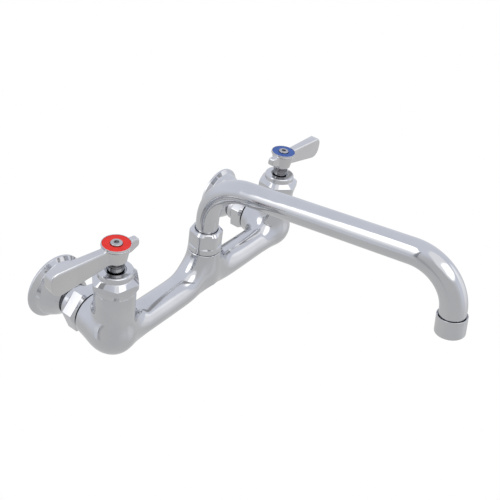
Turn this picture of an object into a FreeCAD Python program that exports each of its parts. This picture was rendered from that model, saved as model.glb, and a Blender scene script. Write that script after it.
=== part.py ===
# Wall-mounted mixing faucet: two quarter-turn lever valves on one cast body and a swing spout.
# Millimetres. The wall is the plane y = 0 and the faucet stands out of it towards -Y. +X is to the
# right of someone facing the wall, so the hot side is at -X. +Z is up. Heights in this source are
# measured from the axis of the coupling nuts. The saved parts sit lower by ECCENTRICITY, so that
# the origin lies on the wall midway between the two supply threads.
import FreeCAD
import Part
import math
import os

from FreeCAD import Vector

# ---------------------------------------------------------------- layout
INLET_CENTRES = 203.2        # supply pipe spacing, 8 inches
WALL_TO_VALVE = 64.0         # wall to the valve and spout axes
ECCENTRICITY = 2.6           # the supply threads lie this far above the coupling nuts' axis

# ---------------------------------------------------------------- fits
RUNNING_FIT = 0.05           # radial clearance of a part that turns in another
THREAD_FIT = 0.05            # radial clearance of a screwed joint
FACE_FIT = 0.05              # gap between faces that rub on each other
TUBE_SHADOW_GAP = 0.45       # radial gap where a tube leaves a nut or a collar

# ---------------------------------------------------------------- cast body
TOWER_RADIUS = 15.1          # valve towers, outside
TOWER_TOP = 37.0             # seat of the bonnet nuts
TOWER_BELLY_RADIUS = 16.6    # round belly at the foot of each tower
TOWER_BELLY_REACH = 18.9     # how far the belly leans out from the valve axis, away from the arms
TOWER_CAP_RADIUS = 14.0      # roundness of the belly's outer end
TOWER_CAP_HEIGHT = -1.4      # height of that end's centre
BELLY_BOTTOM = -19.7         # lowest point of the bellies
ARM_RADIUS = 13.0            # round arms that join the towers
ARM_HEIGHT = -8.3            # centre line of the arms
ARM_NECK_LENGTH = 10.0       # last stretch of an arm before its tower
ARM_NECK_RISE = 6.0          # how far the arm's back rises over that stretch
ARM_NECK_SWELL = 1.5         # how much wider each side gets
ARM_CROWN = 1.2              # share of that rise which an arm has where it ends in its tower
WEB_RADIUS = 9.5             # web in the corner of an arm and an inlet boss
WEB_ARM_REACH = 26.0         # how far from the valve axis it runs, along the arm
WEB_INLET_REACH = 19.0       # and towards the wall
WEB_HEIGHT = -5.5
BOSS_RADIUS = 13.7           # upright boss under the spout nut
BOSS_TOP = 22.4              # seat of the spout nut
BOSS_FLARE_LENGTH = 27.0     # how far the boss runs out along each arm
INLET_BOSS_RADIUS = 16.6     # boss that the coupling nut closes on
INLET_BOSS_FACE = 40.6       # wall to the face of that boss
INLET_BOSS_SWELL_RADIUS = 18.4
INLET_BOSS_SWELL = 54.0      # wall to the boss's widest place
INLET_BOSS_RUN_IN = 4.5      # the boss closes into the tower this far past its axis
INLET_BOSS_TUCK = 0.98       # share of the tower's width there that the boss's end has

# ---------------------------------------------------------------- water ways in the body
INLET_BORE_RADIUS = 8.0
INLET_BORE_DEPTH = 14.0      # behind the boss face
FEED_RADIUS = 6.0            # from the inlet bore to below the valve seat
SEAT_HEIGHT = 9.0            # floor of the valve chamber
SEAT_HOLE_RADIUS = 4.5
CHAMBER_RADIUS = 8.6
ARM_WATERWAY_RADIUS = 5.5
LINK_WATERWAY_RADIUS = 2.7   # upright hole beside a valve chamber, down to the arm's waterway
LINK_INSET = 10.4            # valve axis to that hole
LINK_TOP = 19.0

# ---------------------------------------------------------------- wall flange and coupling
FLANGE_RADIUS = 26.2
FLANGE_RIM = 1.6
FLANGE_BAND_RADIUS = 22.6    # inner edge of the sloping rim band
FLANGE_BAND_DEPTH = 4.2
FLANGE_DEPTH = 20.5
FLANGE_NECK_RADIUS = 14.2
FLANGE_BULGE_OUT = 1.4       # how far the flange's bell stands proud of a plain cone, outwards
FLANGE_BULGE_DEEP = 1.0      # and away from the wall
SUPPLY_THREAD_RADIUS = 9.4   # 1/2 inch pipe thread, minor radius
SUPPLY_THREAD_DEPTH = 15.0
TAIL_RADIUS = 10.9
TAIL_BORE_RADIUS = 6.5
TAIL_LIP_RADIUS = 12.9
TAIL_LIP_LENGTH = 3.0
COUPLING_WASHER_THICKNESS = 2.0
COUPLING_THREAD_RADIUS = 13.2
COUPLING_FLATS = 32.5        # across flats
COUPLING_HEX_START = 27.0    # wall to the hexagon's rear chamfer
COUPLING_REAR_CHAMFER = 2.0
COUPLING_FRONT_GAP = 1.2     # shadow gap between the nut and the boss
COUPLING_REAR_WALL = 4.0     # length of the nut's small rear bore
COUPLING_COLLAR_RADIUS = 13.4
COUPLING_COLLAR_START = 22.0
COUPLING_FRONT_CHAMFER = 2.4
COUPLING_FACE_INSET = 0.6    # the nut's round front face is this much smaller than its flats, per side
HOT_COUPLING_TURN = 49.0     # degrees, how far the nut happened to be turned
COLD_COUPLING_TURN = 38.0

# ---------------------------------------------------------------- bonnet nut
BONNET_FLATS = 31.75         # 1 1/4 inch across flats
BONNET_SKIRT = 5.2           # cone under the hexagon
BONNET_HEX = 3.7             # height of the corners
BONNET_CHAMFER = 3.6         # cone above the hexagon
BONNET_COLLAR_RADIUS = 12.9
BONNET_COLLAR = 4.6
BONNET_COLLAR_ROUND = 1.7
BONNET_MOUTH_RADIUS = 7.2    # sunk mouth round the cartridge neck
BONNET_MOUTH_DEPTH = 3.4
BONNET_THREAD_RADIUS = 10.9
BONNET_THREAD_LENGTH = 8.0
HOT_BONNET_TURN = -11.0
COLD_BONNET_TURN = 20.0

# ---------------------------------------------------------------- ceramic cartridge
SEAT_SEAL_THICKNESS = 1.6
SEAT_SEAL_RADIUS = 8.0
DISC_RADIUS = 7.2
DISC_BORE_FIT = 0.06         # radial clearance of the turning disc and driver
FIXED_DISC_THICKNESS = 3.0
MOVING_DISC_THICKNESS = 2.5
DISC_PORT_RADIUS = 5.6       # outer radius of the fixed disc's two ports
DISC_PORT_INNER = 1.9
DISC_PORT_ANGLE = 80.0
CLOSED_TURN = 90.0           # degrees from open to closed, of the turning disc and its stem
CARTRIDGE_RADIUS = 8.45
CARTRIDGE_WINDOW_WIDTH = 6.0
CARTRIDGE_WINDOW_HEIGHT = 4.4
CARTRIDGE_FLANGE_RADIUS = 10.6
CARTRIDGE_FLANGE = 3.0
CARTRIDGE_NECK_RADIUS = 6.3
CARTRIDGE_NECK_TOP = 58.2
DRIVER_THICKNESS = 2.6
DRIVER_KEY_HEIGHT = 1.2
DRIVER_KEY_WIDTH = 3.0
THRUST_WASHER_THICKNESS = 0.8
STEM_RADIUS = 4.0
STEM_TOP = 71.0
SPLINE_COUNT = 16
SPLINE_DEPTH = 0.45
SPLINE_LENGTH = 9.6
CLIP_THICKNESS = 0.8
CLIP_RADIUS = 5.5
CLIP_GROOVE_DEPTH = 0.6
CLIP_OPENING = 4.2
STEM_SEAL_SECTION = 0.75     # radius of the round rubber section
STEM_SEAL_HEIGHT = 44.0
SEAL_GROOVE_PLAY = 0.1       # a rubber ring's groove is this much taller than its section, per side
BODY_SEAL_SECTION = 0.7
BODY_SEAL_DROP = 2.4         # from the cartridge flange down to its rubber ring

# ---------------------------------------------------------------- lever handle
HUB_RIM_RADIUS = 10.45
HUB_RIM_TOP = 76.1
HUB_RIM_HEIGHT = 1.5
HUB_UPPER_RADIUS = 9.6
HUB_LOWER_RADIUS = 7.8
HUB_BOTTOM = 61.9
HUB_BOTTOM_ROUND = 0.8
INDEX_RADIUS = 9.95
INDEX_THICKNESS = 1.2
INDEX_HOLE_RADIUS = 4.6
INDEX_SINK = 0.15            # the index lies this far below the rim
LEVER_TOP = 74.7
LEVER_REACH = 54.0           # valve axis to the end of the blade
LEVER_END_TOP_ROUND = 6.0
LEVER_END_BOTTOM_ROUND = 9.0
LEVER_END_BOTTOM = 56.2      # lowest point of the blade
LEVER_ROOT_BOTTOM = 63.4     # underside of the blade at the hub
LEVER_ROOT_WIDTH = 6.2
LEVER_END_WIDTH = 8.6
LEVER_EDGE_ROUND = 0.7
LEVER_END_RAKE = 0.6         # the blade's end leans back this much, top to bottom
STUB_END_RAKE = 0.5          # and so does the tail's
STEM_END_GAP = 0.3           # above the stem, inside the hub
SCREW_HOLE_PLAY = 0.2        # radial, round the screw in the hub
STUB_REACH = 18.0            # short tail opposite the blade
STUB_END_HEIGHT = 6.2
STUB_END_ROUND = 2.0
HOT_LEVER_AZIMUTH = 173.0    # where each closed lever points, from +X
COLD_LEVER_AZIMUTH = -2.0
SCREW_HEAD_RADIUS = 4.25
SCREW_HEAD_HEIGHT = 2.3
SCREW_HEAD_ROUND = 0.8
SCREW_RADIUS = 2.0
SCREW_LENGTH = 9.0
SCREW_SOCKET_FLATS = 3.6
SCREW_SOCKET_DEPTH = 2.0

# ---------------------------------------------------------------- spout
TUBE_RADIUS = 9.15
TUBE_WALL = 1.1
RISER_BEND_RADIUS = 38.5
OUTLET_BEND_RADIUS = 33.7
SPOUT_CORNER_HEIGHT = 84.4   # where the riser's line meets the long run's line
SPOUT_RUN = 199.6            # from that corner to the outlet's corner
SPOUT_RISE = 7.9             # degrees that the long run climbs
OUTLET_LEAN = 10.2           # degrees that the outlet leans outwards
OUTLET_COLLAR_START = 35.8   # outlet's corner to the top of the collar

# ---------------------------------------------------------------- spout nut and swivel
SPOUT_NUT_RADIUS = 13.6
SPOUT_NUT_TOP = 41.7
SPOUT_NUT_FLATS = 24.8
SPOUT_NUT_SKIRT = 6.0        # round band below the flats
SPOUT_NUT_CHAMFER = 2.2
SPOUT_NUT_TOP_RING = 1.6     # width of the nut's flat top round its mouth
SPOUT_NUT_LIP = 2.6          # wall above the swivel
SPOUT_NUT_TURN = 16.0
SPOUT_THREAD_RADIUS = 11.2
SWIVEL_RING_THICKNESS = 0.9
SWIVEL_FLANGE = 2.0
SWIVEL_PLAY = 0.2            # radial, round the swivel's flange and its slip ring
SWIVEL_SLEEVE_RADIUS = 8.2
SWIVEL_SLEEVE_LENGTH = 20.0
SWIVEL_BORE_RADIUS = 5.8
SWIVEL_SPIGOT_LENGTH = 5.0
SWIVEL_SEAL_SECTION = 1.0
SWIVEL_SEAL_DEPTHS = (6.0, 12.0)

# ---------------------------------------------------------------- outlet collar and aerator
COLLAR_RADIUS = 10.4
COLLAR_LENGTH = 14.2
COLLAR_BOTTOM_ROUND = 1.2
COLLAR_MOUTH_DEPTH = 1.6     # open ring round the tube
COLLAR_GRIP = 7.0            # length of tube inside the collar
COLLAR_LIP = 0.9
COLLAR_LIP_RADIUS = 7.8
AERATOR_WASHER_THICKNESS = 1.4
AERATOR_RADIUS = 9.0
AERATOR_WALL = 1.2           # its wall and its bottom plate
AERATOR_HOLE_RADIUS = 0.55
AERATOR_RINGS = (2.2, 4.4, 6.6)

# ---------------------------------------------------------------- derived places
VALVE_X = INLET_CENTRES / 2
VALVE_Y = -WALL_TO_VALVE
BONNET_TOP = TOWER_TOP + BONNET_SKIRT + BONNET_HEX + BONNET_CHAMFER + BONNET_COLLAR
CARTRIDGE_BOTTOM = SEAT_HEIGHT + SEAT_SEAL_THICKNESS
CARTRIDGE_FLANGE_TOP = TOWER_TOP - BONNET_THREAD_LENGTH
CARTRIDGE_FLANGE_SEAT = CARTRIDGE_FLANGE_TOP - CARTRIDGE_FLANGE
FIXED_DISC_TOP = CARTRIDGE_BOTTOM + FIXED_DISC_THICKNESS
MOVING_DISC_BOTTOM = FIXED_DISC_TOP + FACE_FIT
MOVING_DISC_TOP = MOVING_DISC_BOTTOM + MOVING_DISC_THICKNESS
DRIVER_TOP = MOVING_DISC_TOP + DRIVER_THICKNESS
THRUST_WASHER_BOTTOM = DRIVER_TOP + FACE_FIT
CAVITY_TOP = THRUST_WASHER_BOTTOM + THRUST_WASHER_THICKNESS
STEM_BORE_RADIUS = STEM_RADIUS + RUNNING_FIT
CARTRIDGE_CAVITY_RADIUS = DISC_RADIUS + DISC_BORE_FIT
CLIP_BOTTOM = CARTRIDGE_NECK_TOP + FACE_FIT
BODY_SEAL_FLOOR = CHAMBER_RADIUS - RUNNING_FIT - 2 * BODY_SEAL_SECTION
INDEX_FLOOR = HUB_RIM_TOP - INDEX_SINK - INDEX_THICKNESS
COUPLING_FRONT = INLET_BOSS_FACE - COUPLING_FRONT_GAP
TAIL_LIP_START = COUPLING_COLLAR_START + COUPLING_REAR_WALL
TAIL_END = TAIL_LIP_START + TAIL_LIP_LENGTH
SPIGOT_END = TAIL_END + COUPLING_WASHER_THICKNESS
SWIVEL_RING_TOP = SPOUT_NUT_TOP - SPOUT_NUT_LIP - FACE_FIT
SWIVEL_FLANGE_TOP = SWIVEL_RING_TOP - SWIVEL_RING_THICKNESS - FACE_FIT
SPOUT_SPIGOT_TOP = SWIVEL_FLANGE_TOP - SWIVEL_FLANGE - FACE_FIT
SWIVEL_SOCKET_RADIUS = SWIVEL_SLEEVE_RADIUS + RUNNING_FIT
TUBE_BORE_RADIUS = TUBE_RADIUS - TUBE_WALL

UP = Vector(0, 0, 1)
ORIGIN = Vector(0, 0, 0)


# ---------------------------------------------------------------- helpers
def turned(outline, wall_axis=False):
    """Solid of revolution from (radius, height) corners; a 4-tuple is an arc's middle and end."""
    edges = []
    here = Vector(outline[0][0], 0, outline[0][1])
    start = here
    for step in outline[1:] + [outline[0][:2]]:
        there = Vector(step[-2], 0, step[-1])
        if there.distanceToPoint(here) < 1e-6:
            continue
        if len(step) == 4:
            edges.append(Part.Arc(here, Vector(step[0], 0, step[1]), there).toShape())
        else:
            edges.append(Part.LineSegment(here, there).toShape())
        here = there
    assert here.distanceToPoint(start) < 1e-6
    solid = Part.Face(Part.Wire(edges)).revolve(ORIGIN, UP, 360)
    if wall_axis:
        solid.rotate(ORIGIN, Vector(1, 0, 0), 90)
    return solid


def disc(radius, bottom, top):
    """Upright cylinder on the Z axis."""
    return Part.makeCylinder(radius, top - bottom, Vector(0, 0, bottom), UP)


def ring(outer, inner, bottom, top):
    """Upright tube on the Z axis."""
    return disc(outer, bottom, top).cut(disc(inner, bottom, top))


def hexagon(flats, bottom, top, turn=0.0):
    """Upright hexagonal bar on the Z axis with a corner at angle turn."""
    corner = flats / math.sqrt(3)
    corners = [
        Vector(corner * math.cos(math.radians(60 * k)), corner * math.sin(math.radians(60 * k)), bottom)
        for k in range(7)
    ]
    bar = Part.Face(Part.makePolygon(corners)).extrude(Vector(0, 0, top - bottom))
    bar.rotate(ORIGIN, UP, turn)
    return bar


def corner_round(radius_at, height_at, size, bite_in, bite_up):
    """Arc step that rounds an outside corner; the bites are -1 or +1, away from the corner."""
    far = size * (1 - math.sqrt(0.5))
    return (radius_at + bite_in * far, height_at + bite_up * far, radius_at + bite_in * size, height_at)


def o_ring(centre_radius, section, height):
    return Part.makeTorus(centre_radius, section, Vector(0, 0, height), UP)


def at_valve(shape, side):
    """Moves a shape built on the Z axis to the hot (-1) or cold (+1) valve."""
    placed = shape.copy()
    placed.translate(Vector(side * VALVE_X, VALVE_Y, 0))
    return placed


def at_inlet(shape, side):
    """Moves a shape built on the Y axis to the hot (-1) or cold (+1) inlet."""
    placed = shape.copy()
    placed.translate(Vector(side * VALVE_X, 0, 0))
    return placed


def at_spout(shape):
    placed = shape.copy()
    placed.translate(Vector(0, VALVE_Y, 0))
    return placed


def save(node, shape):
    """Writes one node, a solid or a group of separate solids, at its height over the origin."""
    solids = shape.Solids
    assert solids and all(solid.isValid() for solid in solids), node
    placed = solids[0].copy() if len(solids) == 1 else Part.makeCompound(solids)
    placed.translate(Vector(0, 0, -ECCENTRICITY))
    placed.exportStep("parts/" + node + ".step")


# ---------------------------------------------------------------- body
def arm_section(x, rise, swell):
    """Upright oval across an arm at x: the round arm, raised on top and a little wider."""
    half_height = ARM_RADIUS + rise / 2
    half_width = min(ARM_RADIUS + swell, half_height)
    oval = Part.Ellipse(ORIGIN, half_height, half_width).toShape()
    oval.rotate(ORIGIN, Vector(0, 1, 0), -90)
    oval.translate(Vector(x, VALVE_Y, ARM_HEIGHT + rise / 2))
    return Part.Wire(oval)


def arms():
    """The two arms as one loft whose back rises into the boss and into the towers."""
    neck_start = VALVE_X - TOWER_RADIUS - ARM_NECK_LENGTH
    flare_end = BOSS_RADIUS + BOSS_FLARE_LENGTH
    boss_rise = BOSS_TOP - ARM_HEIGHT - ARM_RADIUS
    half = [(0.0, 0.97 * boss_rise, 0.0)]
    for share, height in ((0.0, 0.93), (0.14, 0.55), (0.32, 0.26), (0.55, 0.09), (0.80, 0.014)):
        half.append((BOSS_RADIUS + share * BOSS_FLARE_LENGTH, height * boss_rise, 0.0))
    for share in (0.1, 0.55, 1.0):
        half.append((flare_end + share * (neck_start - flare_end), 0.0, 0.0))
    for share, height in ((0.55, 0.14), (0.85, 0.55), (1.0, 1.0)):
        swollen = height * ARM_NECK_SWELL
        half.append((neck_start + share * ARM_NECK_LENGTH, height * ARM_NECK_RISE, swollen))
    half.append((VALVE_X - TOWER_RADIUS / 2, ARM_CROWN * ARM_NECK_RISE, ARM_NECK_SWELL))
    stations = [(-x, rise, swell) for x, rise, swell in reversed(half[1:])] + half
    return Part.makeLoft([arm_section(*station) for station in stations], True, False)


def rear_web(side):
    """Rounded web in the corner between an arm and its inlet boss."""
    start = Vector(side * (VALVE_X - WEB_ARM_REACH), VALVE_Y, WEB_HEIGHT)
    end = Vector(side * VALVE_X, VALVE_Y + WEB_INLET_REACH, WEB_HEIGHT)
    return Part.makeCylinder(WEB_RADIUS, (end - start).Length, start, end - start)


def tower(side):
    """Valve tower on the Z axis: a straight barrel on a round belly that leans outwards."""
    belly_centre = BELLY_BOTTOM + TOWER_BELLY_RADIUS
    lean = TOWER_BELLY_REACH - TOWER_CAP_RADIUS
    barrel = disc(TOWER_RADIUS, belly_centre, TOWER_TOP)
    belly = Part.makeSphere(TOWER_BELLY_RADIUS, Vector(0, 0, belly_centre))
    cap = Part.makeSphere(TOWER_CAP_RADIUS, Vector(side * lean, 0, TOWER_CAP_HEIGHT))
    return barrel.fuse([belly, cap])


def inlet_boss():
    """Swelling boss towards the wall, with the threaded spigot of the coupling, on the Y axis."""
    close_depth = WALL_TO_VALVE + INLET_BOSS_RUN_IN
    close_radius = INLET_BOSS_TUCK * math.sqrt(TOWER_RADIUS**2 - INLET_BOSS_RUN_IN**2)
    return turned(
        [
            (0, SPIGOT_END),
            (COUPLING_THREAD_RADIUS, SPIGOT_END),
            (COUPLING_THREAD_RADIUS, INLET_BOSS_FACE),
            (INLET_BOSS_RADIUS, INLET_BOSS_FACE),
            (INLET_BOSS_SWELL_RADIUS, INLET_BOSS_SWELL),
            (
                INLET_BOSS_SWELL_RADIUS - 0.2 * (INLET_BOSS_SWELL_RADIUS - close_radius),
                INLET_BOSS_SWELL + 0.6 * (close_depth - INLET_BOSS_SWELL),
                close_radius,
                close_depth,
            ),
            (0, close_depth),
        ],
        wall_axis=True,
    )


def valve_bores():
    """What is drilled out of one tower, on the Z axis with the wall towards +Y."""
    bores = disc(CHAMBER_RADIUS, SEAT_HEIGHT, TOWER_TOP)
    bores = bores.fuse(disc(BONNET_THREAD_RADIUS + THREAD_FIT, CARTRIDGE_FLANGE_SEAT, TOWER_TOP))
    bores = bores.fuse(disc(SEAT_HOLE_RADIUS, 0, SEAT_HEIGHT))
    feed_length = WALL_TO_VALVE - SPIGOT_END
    bores = bores.fuse(Part.makeCylinder(FEED_RADIUS, feed_length, ORIGIN, Vector(0, 1, 0)))
    mouth = WALL_TO_VALVE - INLET_BOSS_FACE - INLET_BORE_DEPTH
    bores = bores.fuse(
        Part.makeCylinder(INLET_BORE_RADIUS, feed_length - mouth, Vector(0, mouth, 0), Vector(0, 1, 0))
    )
    return bores


def link_waterway():
    """Upright hole that opens the side of one valve chamber to the arm's waterway, on the Z axis."""
    return disc(LINK_WATERWAY_RADIUS, ARM_HEIGHT, LINK_TOP)


def body():
    shape = arms()
    boss = disc(BOSS_RADIUS, ARM_HEIGHT, BOSS_TOP).fuse(disc(SPOUT_THREAD_RADIUS, BOSS_TOP, SPOUT_SPIGOT_TOP))
    shape = shape.fuse(at_spout(boss))
    for side in (-1, 1):
        shape = shape.fuse([at_valve(tower(side), side), at_inlet(inlet_boss(), side), rear_web(side)])
    arm_half = VALVE_X - LINK_INSET
    waterway = Part.makeCylinder(
        ARM_WATERWAY_RADIUS, 2 * arm_half, Vector(-arm_half, VALVE_Y, ARM_HEIGHT), Vector(1, 0, 0)
    )
    shape = shape.cut(waterway)
    shape = shape.cut(at_spout(disc(SWIVEL_SOCKET_RADIUS, ARM_HEIGHT, SPOUT_SPIGOT_TOP)))
    for side in (-1, 1):
        link = link_waterway()
        link.translate(Vector(side * (VALVE_X - LINK_INSET), VALVE_Y, 0))
        shape = shape.cut([at_valve(valve_bores(), side), link])
    return shape


# ---------------------------------------------------------------- inlet side
def wall_flange():
    """Flange and supply thread, and below their axis the tail for the coupling, in one piece."""
    flange = turned(
        [
            (SUPPLY_THREAD_RADIUS, 0),
            (FLANGE_RADIUS, 0),
            (FLANGE_RADIUS, FLANGE_RIM),
            (FLANGE_BAND_RADIUS, FLANGE_BAND_DEPTH),
            (
                (FLANGE_BAND_RADIUS + FLANGE_NECK_RADIUS) / 2 + FLANGE_BULGE_OUT,
                (FLANGE_BAND_DEPTH + FLANGE_DEPTH) / 2 + FLANGE_BULGE_DEEP,
                FLANGE_NECK_RADIUS,
                FLANGE_DEPTH,
            ),
            (0, FLANGE_DEPTH),
            (0, SUPPLY_THREAD_DEPTH),
            (SUPPLY_THREAD_RADIUS, SUPPLY_THREAD_DEPTH),
        ],
        wall_axis=True,
    )
    flange.translate(Vector(0, 0, ECCENTRICITY))
    tail = turned(
        [
            (0, FLANGE_DEPTH),
            (TAIL_RADIUS, FLANGE_DEPTH),
            (TAIL_RADIUS, TAIL_LIP_START),
            (TAIL_LIP_RADIUS, TAIL_LIP_START),
            (TAIL_LIP_RADIUS, TAIL_END),
            (0, TAIL_END),
        ],
        wall_axis=True,
    )
    bore = turned(
        [
            (0, SUPPLY_THREAD_DEPTH),
            (TAIL_BORE_RADIUS, SUPPLY_THREAD_DEPTH),
            (TAIL_BORE_RADIUS, TAIL_END),
            (0, TAIL_END),
        ],
        wall_axis=True,
    )
    return flange.fuse(tail).cut(bore).removeSplitter()


def coupling_nut(turn):
    """Hexagon nut that draws the flange's tail up to the body's spigot, on the Y axis."""
    corner = COUPLING_FLATS / math.sqrt(3)
    blank = turned(
        [
            (TAIL_RADIUS + THREAD_FIT, COUPLING_COLLAR_START),
            (COUPLING_COLLAR_RADIUS, COUPLING_COLLAR_START),
            (COUPLING_COLLAR_RADIUS, COUPLING_HEX_START),
            (corner, COUPLING_HEX_START + COUPLING_REAR_CHAMFER),
            (corner, COUPLING_FRONT - COUPLING_FRONT_CHAMFER),
            (COUPLING_FLATS / 2 - COUPLING_FACE_INSET, COUPLING_FRONT),
            (COUPLING_THREAD_RADIUS + THREAD_FIT, COUPLING_FRONT),
            (COUPLING_THREAD_RADIUS + THREAD_FIT, TAIL_LIP_START),
            (TAIL_RADIUS + THREAD_FIT, TAIL_LIP_START),
        ]
    )
    nut = blank.common(hexagon(COUPLING_FLATS, COUPLING_COLLAR_START, COUPLING_FRONT, -turn))
    nut.rotate(ORIGIN, Vector(1, 0, 0), 90)
    return nut


def coupling_washer():
    washer = ring(TAIL_LIP_RADIUS, TAIL_BORE_RADIUS, TAIL_END, SPIGOT_END)
    washer.rotate(ORIGIN, Vector(1, 0, 0), 90)
    return washer


# ---------------------------------------------------------------- valve
def bonnet_nut(turn):
    """Chromed nut with a round collar: it clamps the cartridge and hides its neck."""
    corner = BONNET_FLATS / math.sqrt(3)
    hex_bottom = TOWER_TOP + BONNET_SKIRT
    hex_top = hex_bottom + BONNET_HEX
    collar_base = hex_top + BONNET_CHAMFER
    neck_bore = CARTRIDGE_NECK_RADIUS + THREAD_FIT
    blank = turned(
        [
            (neck_bore, TOWER_TOP),
            (TOWER_RADIUS, TOWER_TOP),
            (corner, hex_bottom),
            (corner, hex_top),
            (BONNET_COLLAR_RADIUS, collar_base),
            (BONNET_COLLAR_RADIUS, BONNET_TOP - BONNET_COLLAR_ROUND),
            corner_round(BONNET_COLLAR_RADIUS, BONNET_TOP, BONNET_COLLAR_ROUND, -1, -1),
            (BONNET_MOUTH_RADIUS, BONNET_TOP),
            (BONNET_MOUTH_RADIUS, BONNET_TOP - BONNET_MOUTH_DEPTH),
            (neck_bore, BONNET_TOP - BONNET_MOUTH_DEPTH),
        ]
    )
    nut = blank.common(hexagon(BONNET_FLATS, TOWER_TOP, BONNET_TOP, turn))
    return nut.fuse(ring(BONNET_THREAD_RADIUS, neck_bore, CARTRIDGE_FLANGE_TOP, TOWER_TOP)).removeSplitter()


def seat_seal():
    return ring(SEAT_SEAL_RADIUS, SEAT_HOLE_RADIUS, SEAT_HEIGHT, CARTRIDGE_BOTTOM)


def disc_ports(radius, bottom, top):
    """The two opposed sector ports of a ceramic disc, centred on the X axis."""
    ports = []
    for start in (-DISC_PORT_ANGLE / 2, 180 - DISC_PORT_ANGLE / 2):
        sector = Part.makeCylinder(radius, top - bottom, Vector(0, 0, bottom), UP, DISC_PORT_ANGLE)
        sector.rotate(ORIGIN, UP, start)
        ports.append(sector.cut(disc(DISC_PORT_INNER, bottom, top)))
    return ports


def fixed_disc():
    ports = disc_ports(DISC_PORT_RADIUS, CARTRIDGE_BOTTOM, FIXED_DISC_TOP)
    return disc(DISC_RADIUS, CARTRIDGE_BOTTOM, FIXED_DISC_TOP).cut(ports)


def moving_disc():
    """Bow-tie disc: closed it covers the fixed ports. Its top has the groove for the stem's key."""
    plate = disc(DISC_RADIUS, MOVING_DISC_BOTTOM, MOVING_DISC_TOP)
    plate = plate.cut(disc_ports(2 * DISC_RADIUS, MOVING_DISC_BOTTOM, MOVING_DISC_TOP))
    groove_floor = MOVING_DISC_TOP - DRIVER_KEY_HEIGHT - FACE_FIT
    groove = Part.makeBox(
        2 * DISC_RADIUS,
        DRIVER_KEY_WIDTH + 2 * FACE_FIT,
        DRIVER_KEY_HEIGHT + FACE_FIT,
        Vector(-DISC_RADIUS, -DRIVER_KEY_WIDTH / 2 - FACE_FIT, groove_floor),
    )
    groove.rotate(ORIGIN, UP, 90)
    plate = plate.cut(groove)
    plate.rotate(ORIGIN, UP, CLOSED_TURN)
    return plate


def cartridge_body():
    """Brass barrel that holds the discs, with its outlet windows and its guide for the stem."""
    barrel = turned(
        [
            (CARTRIDGE_CAVITY_RADIUS, CARTRIDGE_BOTTOM),
            (CARTRIDGE_RADIUS, CARTRIDGE_BOTTOM),
            (CARTRIDGE_RADIUS, CARTRIDGE_FLANGE_SEAT - BODY_SEAL_DROP - BODY_SEAL_SECTION),
            (BODY_SEAL_FLOOR, CARTRIDGE_FLANGE_SEAT - BODY_SEAL_DROP - BODY_SEAL_SECTION),
            (BODY_SEAL_FLOOR, CARTRIDGE_FLANGE_SEAT - BODY_SEAL_DROP + BODY_SEAL_SECTION),
            (CARTRIDGE_RADIUS, CARTRIDGE_FLANGE_SEAT - BODY_SEAL_DROP + BODY_SEAL_SECTION),
            (CARTRIDGE_RADIUS, CARTRIDGE_FLANGE_SEAT),
            (CARTRIDGE_FLANGE_RADIUS, CARTRIDGE_FLANGE_SEAT),
            (CARTRIDGE_FLANGE_RADIUS, CARTRIDGE_FLANGE_TOP),
            (CARTRIDGE_NECK_RADIUS, CARTRIDGE_FLANGE_TOP),
            (CARTRIDGE_NECK_RADIUS, CARTRIDGE_NECK_TOP),
            (STEM_BORE_RADIUS, CARTRIDGE_NECK_TOP),
            (STEM_BORE_RADIUS, CAVITY_TOP),
            (CARTRIDGE_CAVITY_RADIUS, CAVITY_TOP),
        ]
    )
    window = Part.makeBox(
        2 * CARTRIDGE_RADIUS + 2,
        CARTRIDGE_WINDOW_WIDTH,
        CARTRIDGE_WINDOW_HEIGHT,
        Vector(-CARTRIDGE_RADIUS - 1, -CARTRIDGE_WINDOW_WIDTH / 2, MOVING_DISC_BOTTOM),
    )
    return barrel.cut(window)


def body_seal():
    """Rubber ring in the groove under the cartridge's flange."""
    height = CARTRIDGE_FLANGE_SEAT - BODY_SEAL_DROP
    return o_ring(BODY_SEAL_FLOOR + BODY_SEAL_SECTION, BODY_SEAL_SECTION, height)


def thrust_washer():
    return ring(CARTRIDGE_CAVITY_RADIUS - RUNNING_FIT, STEM_BORE_RADIUS, THRUST_WASHER_BOTTOM, CAVITY_TOP)


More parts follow.
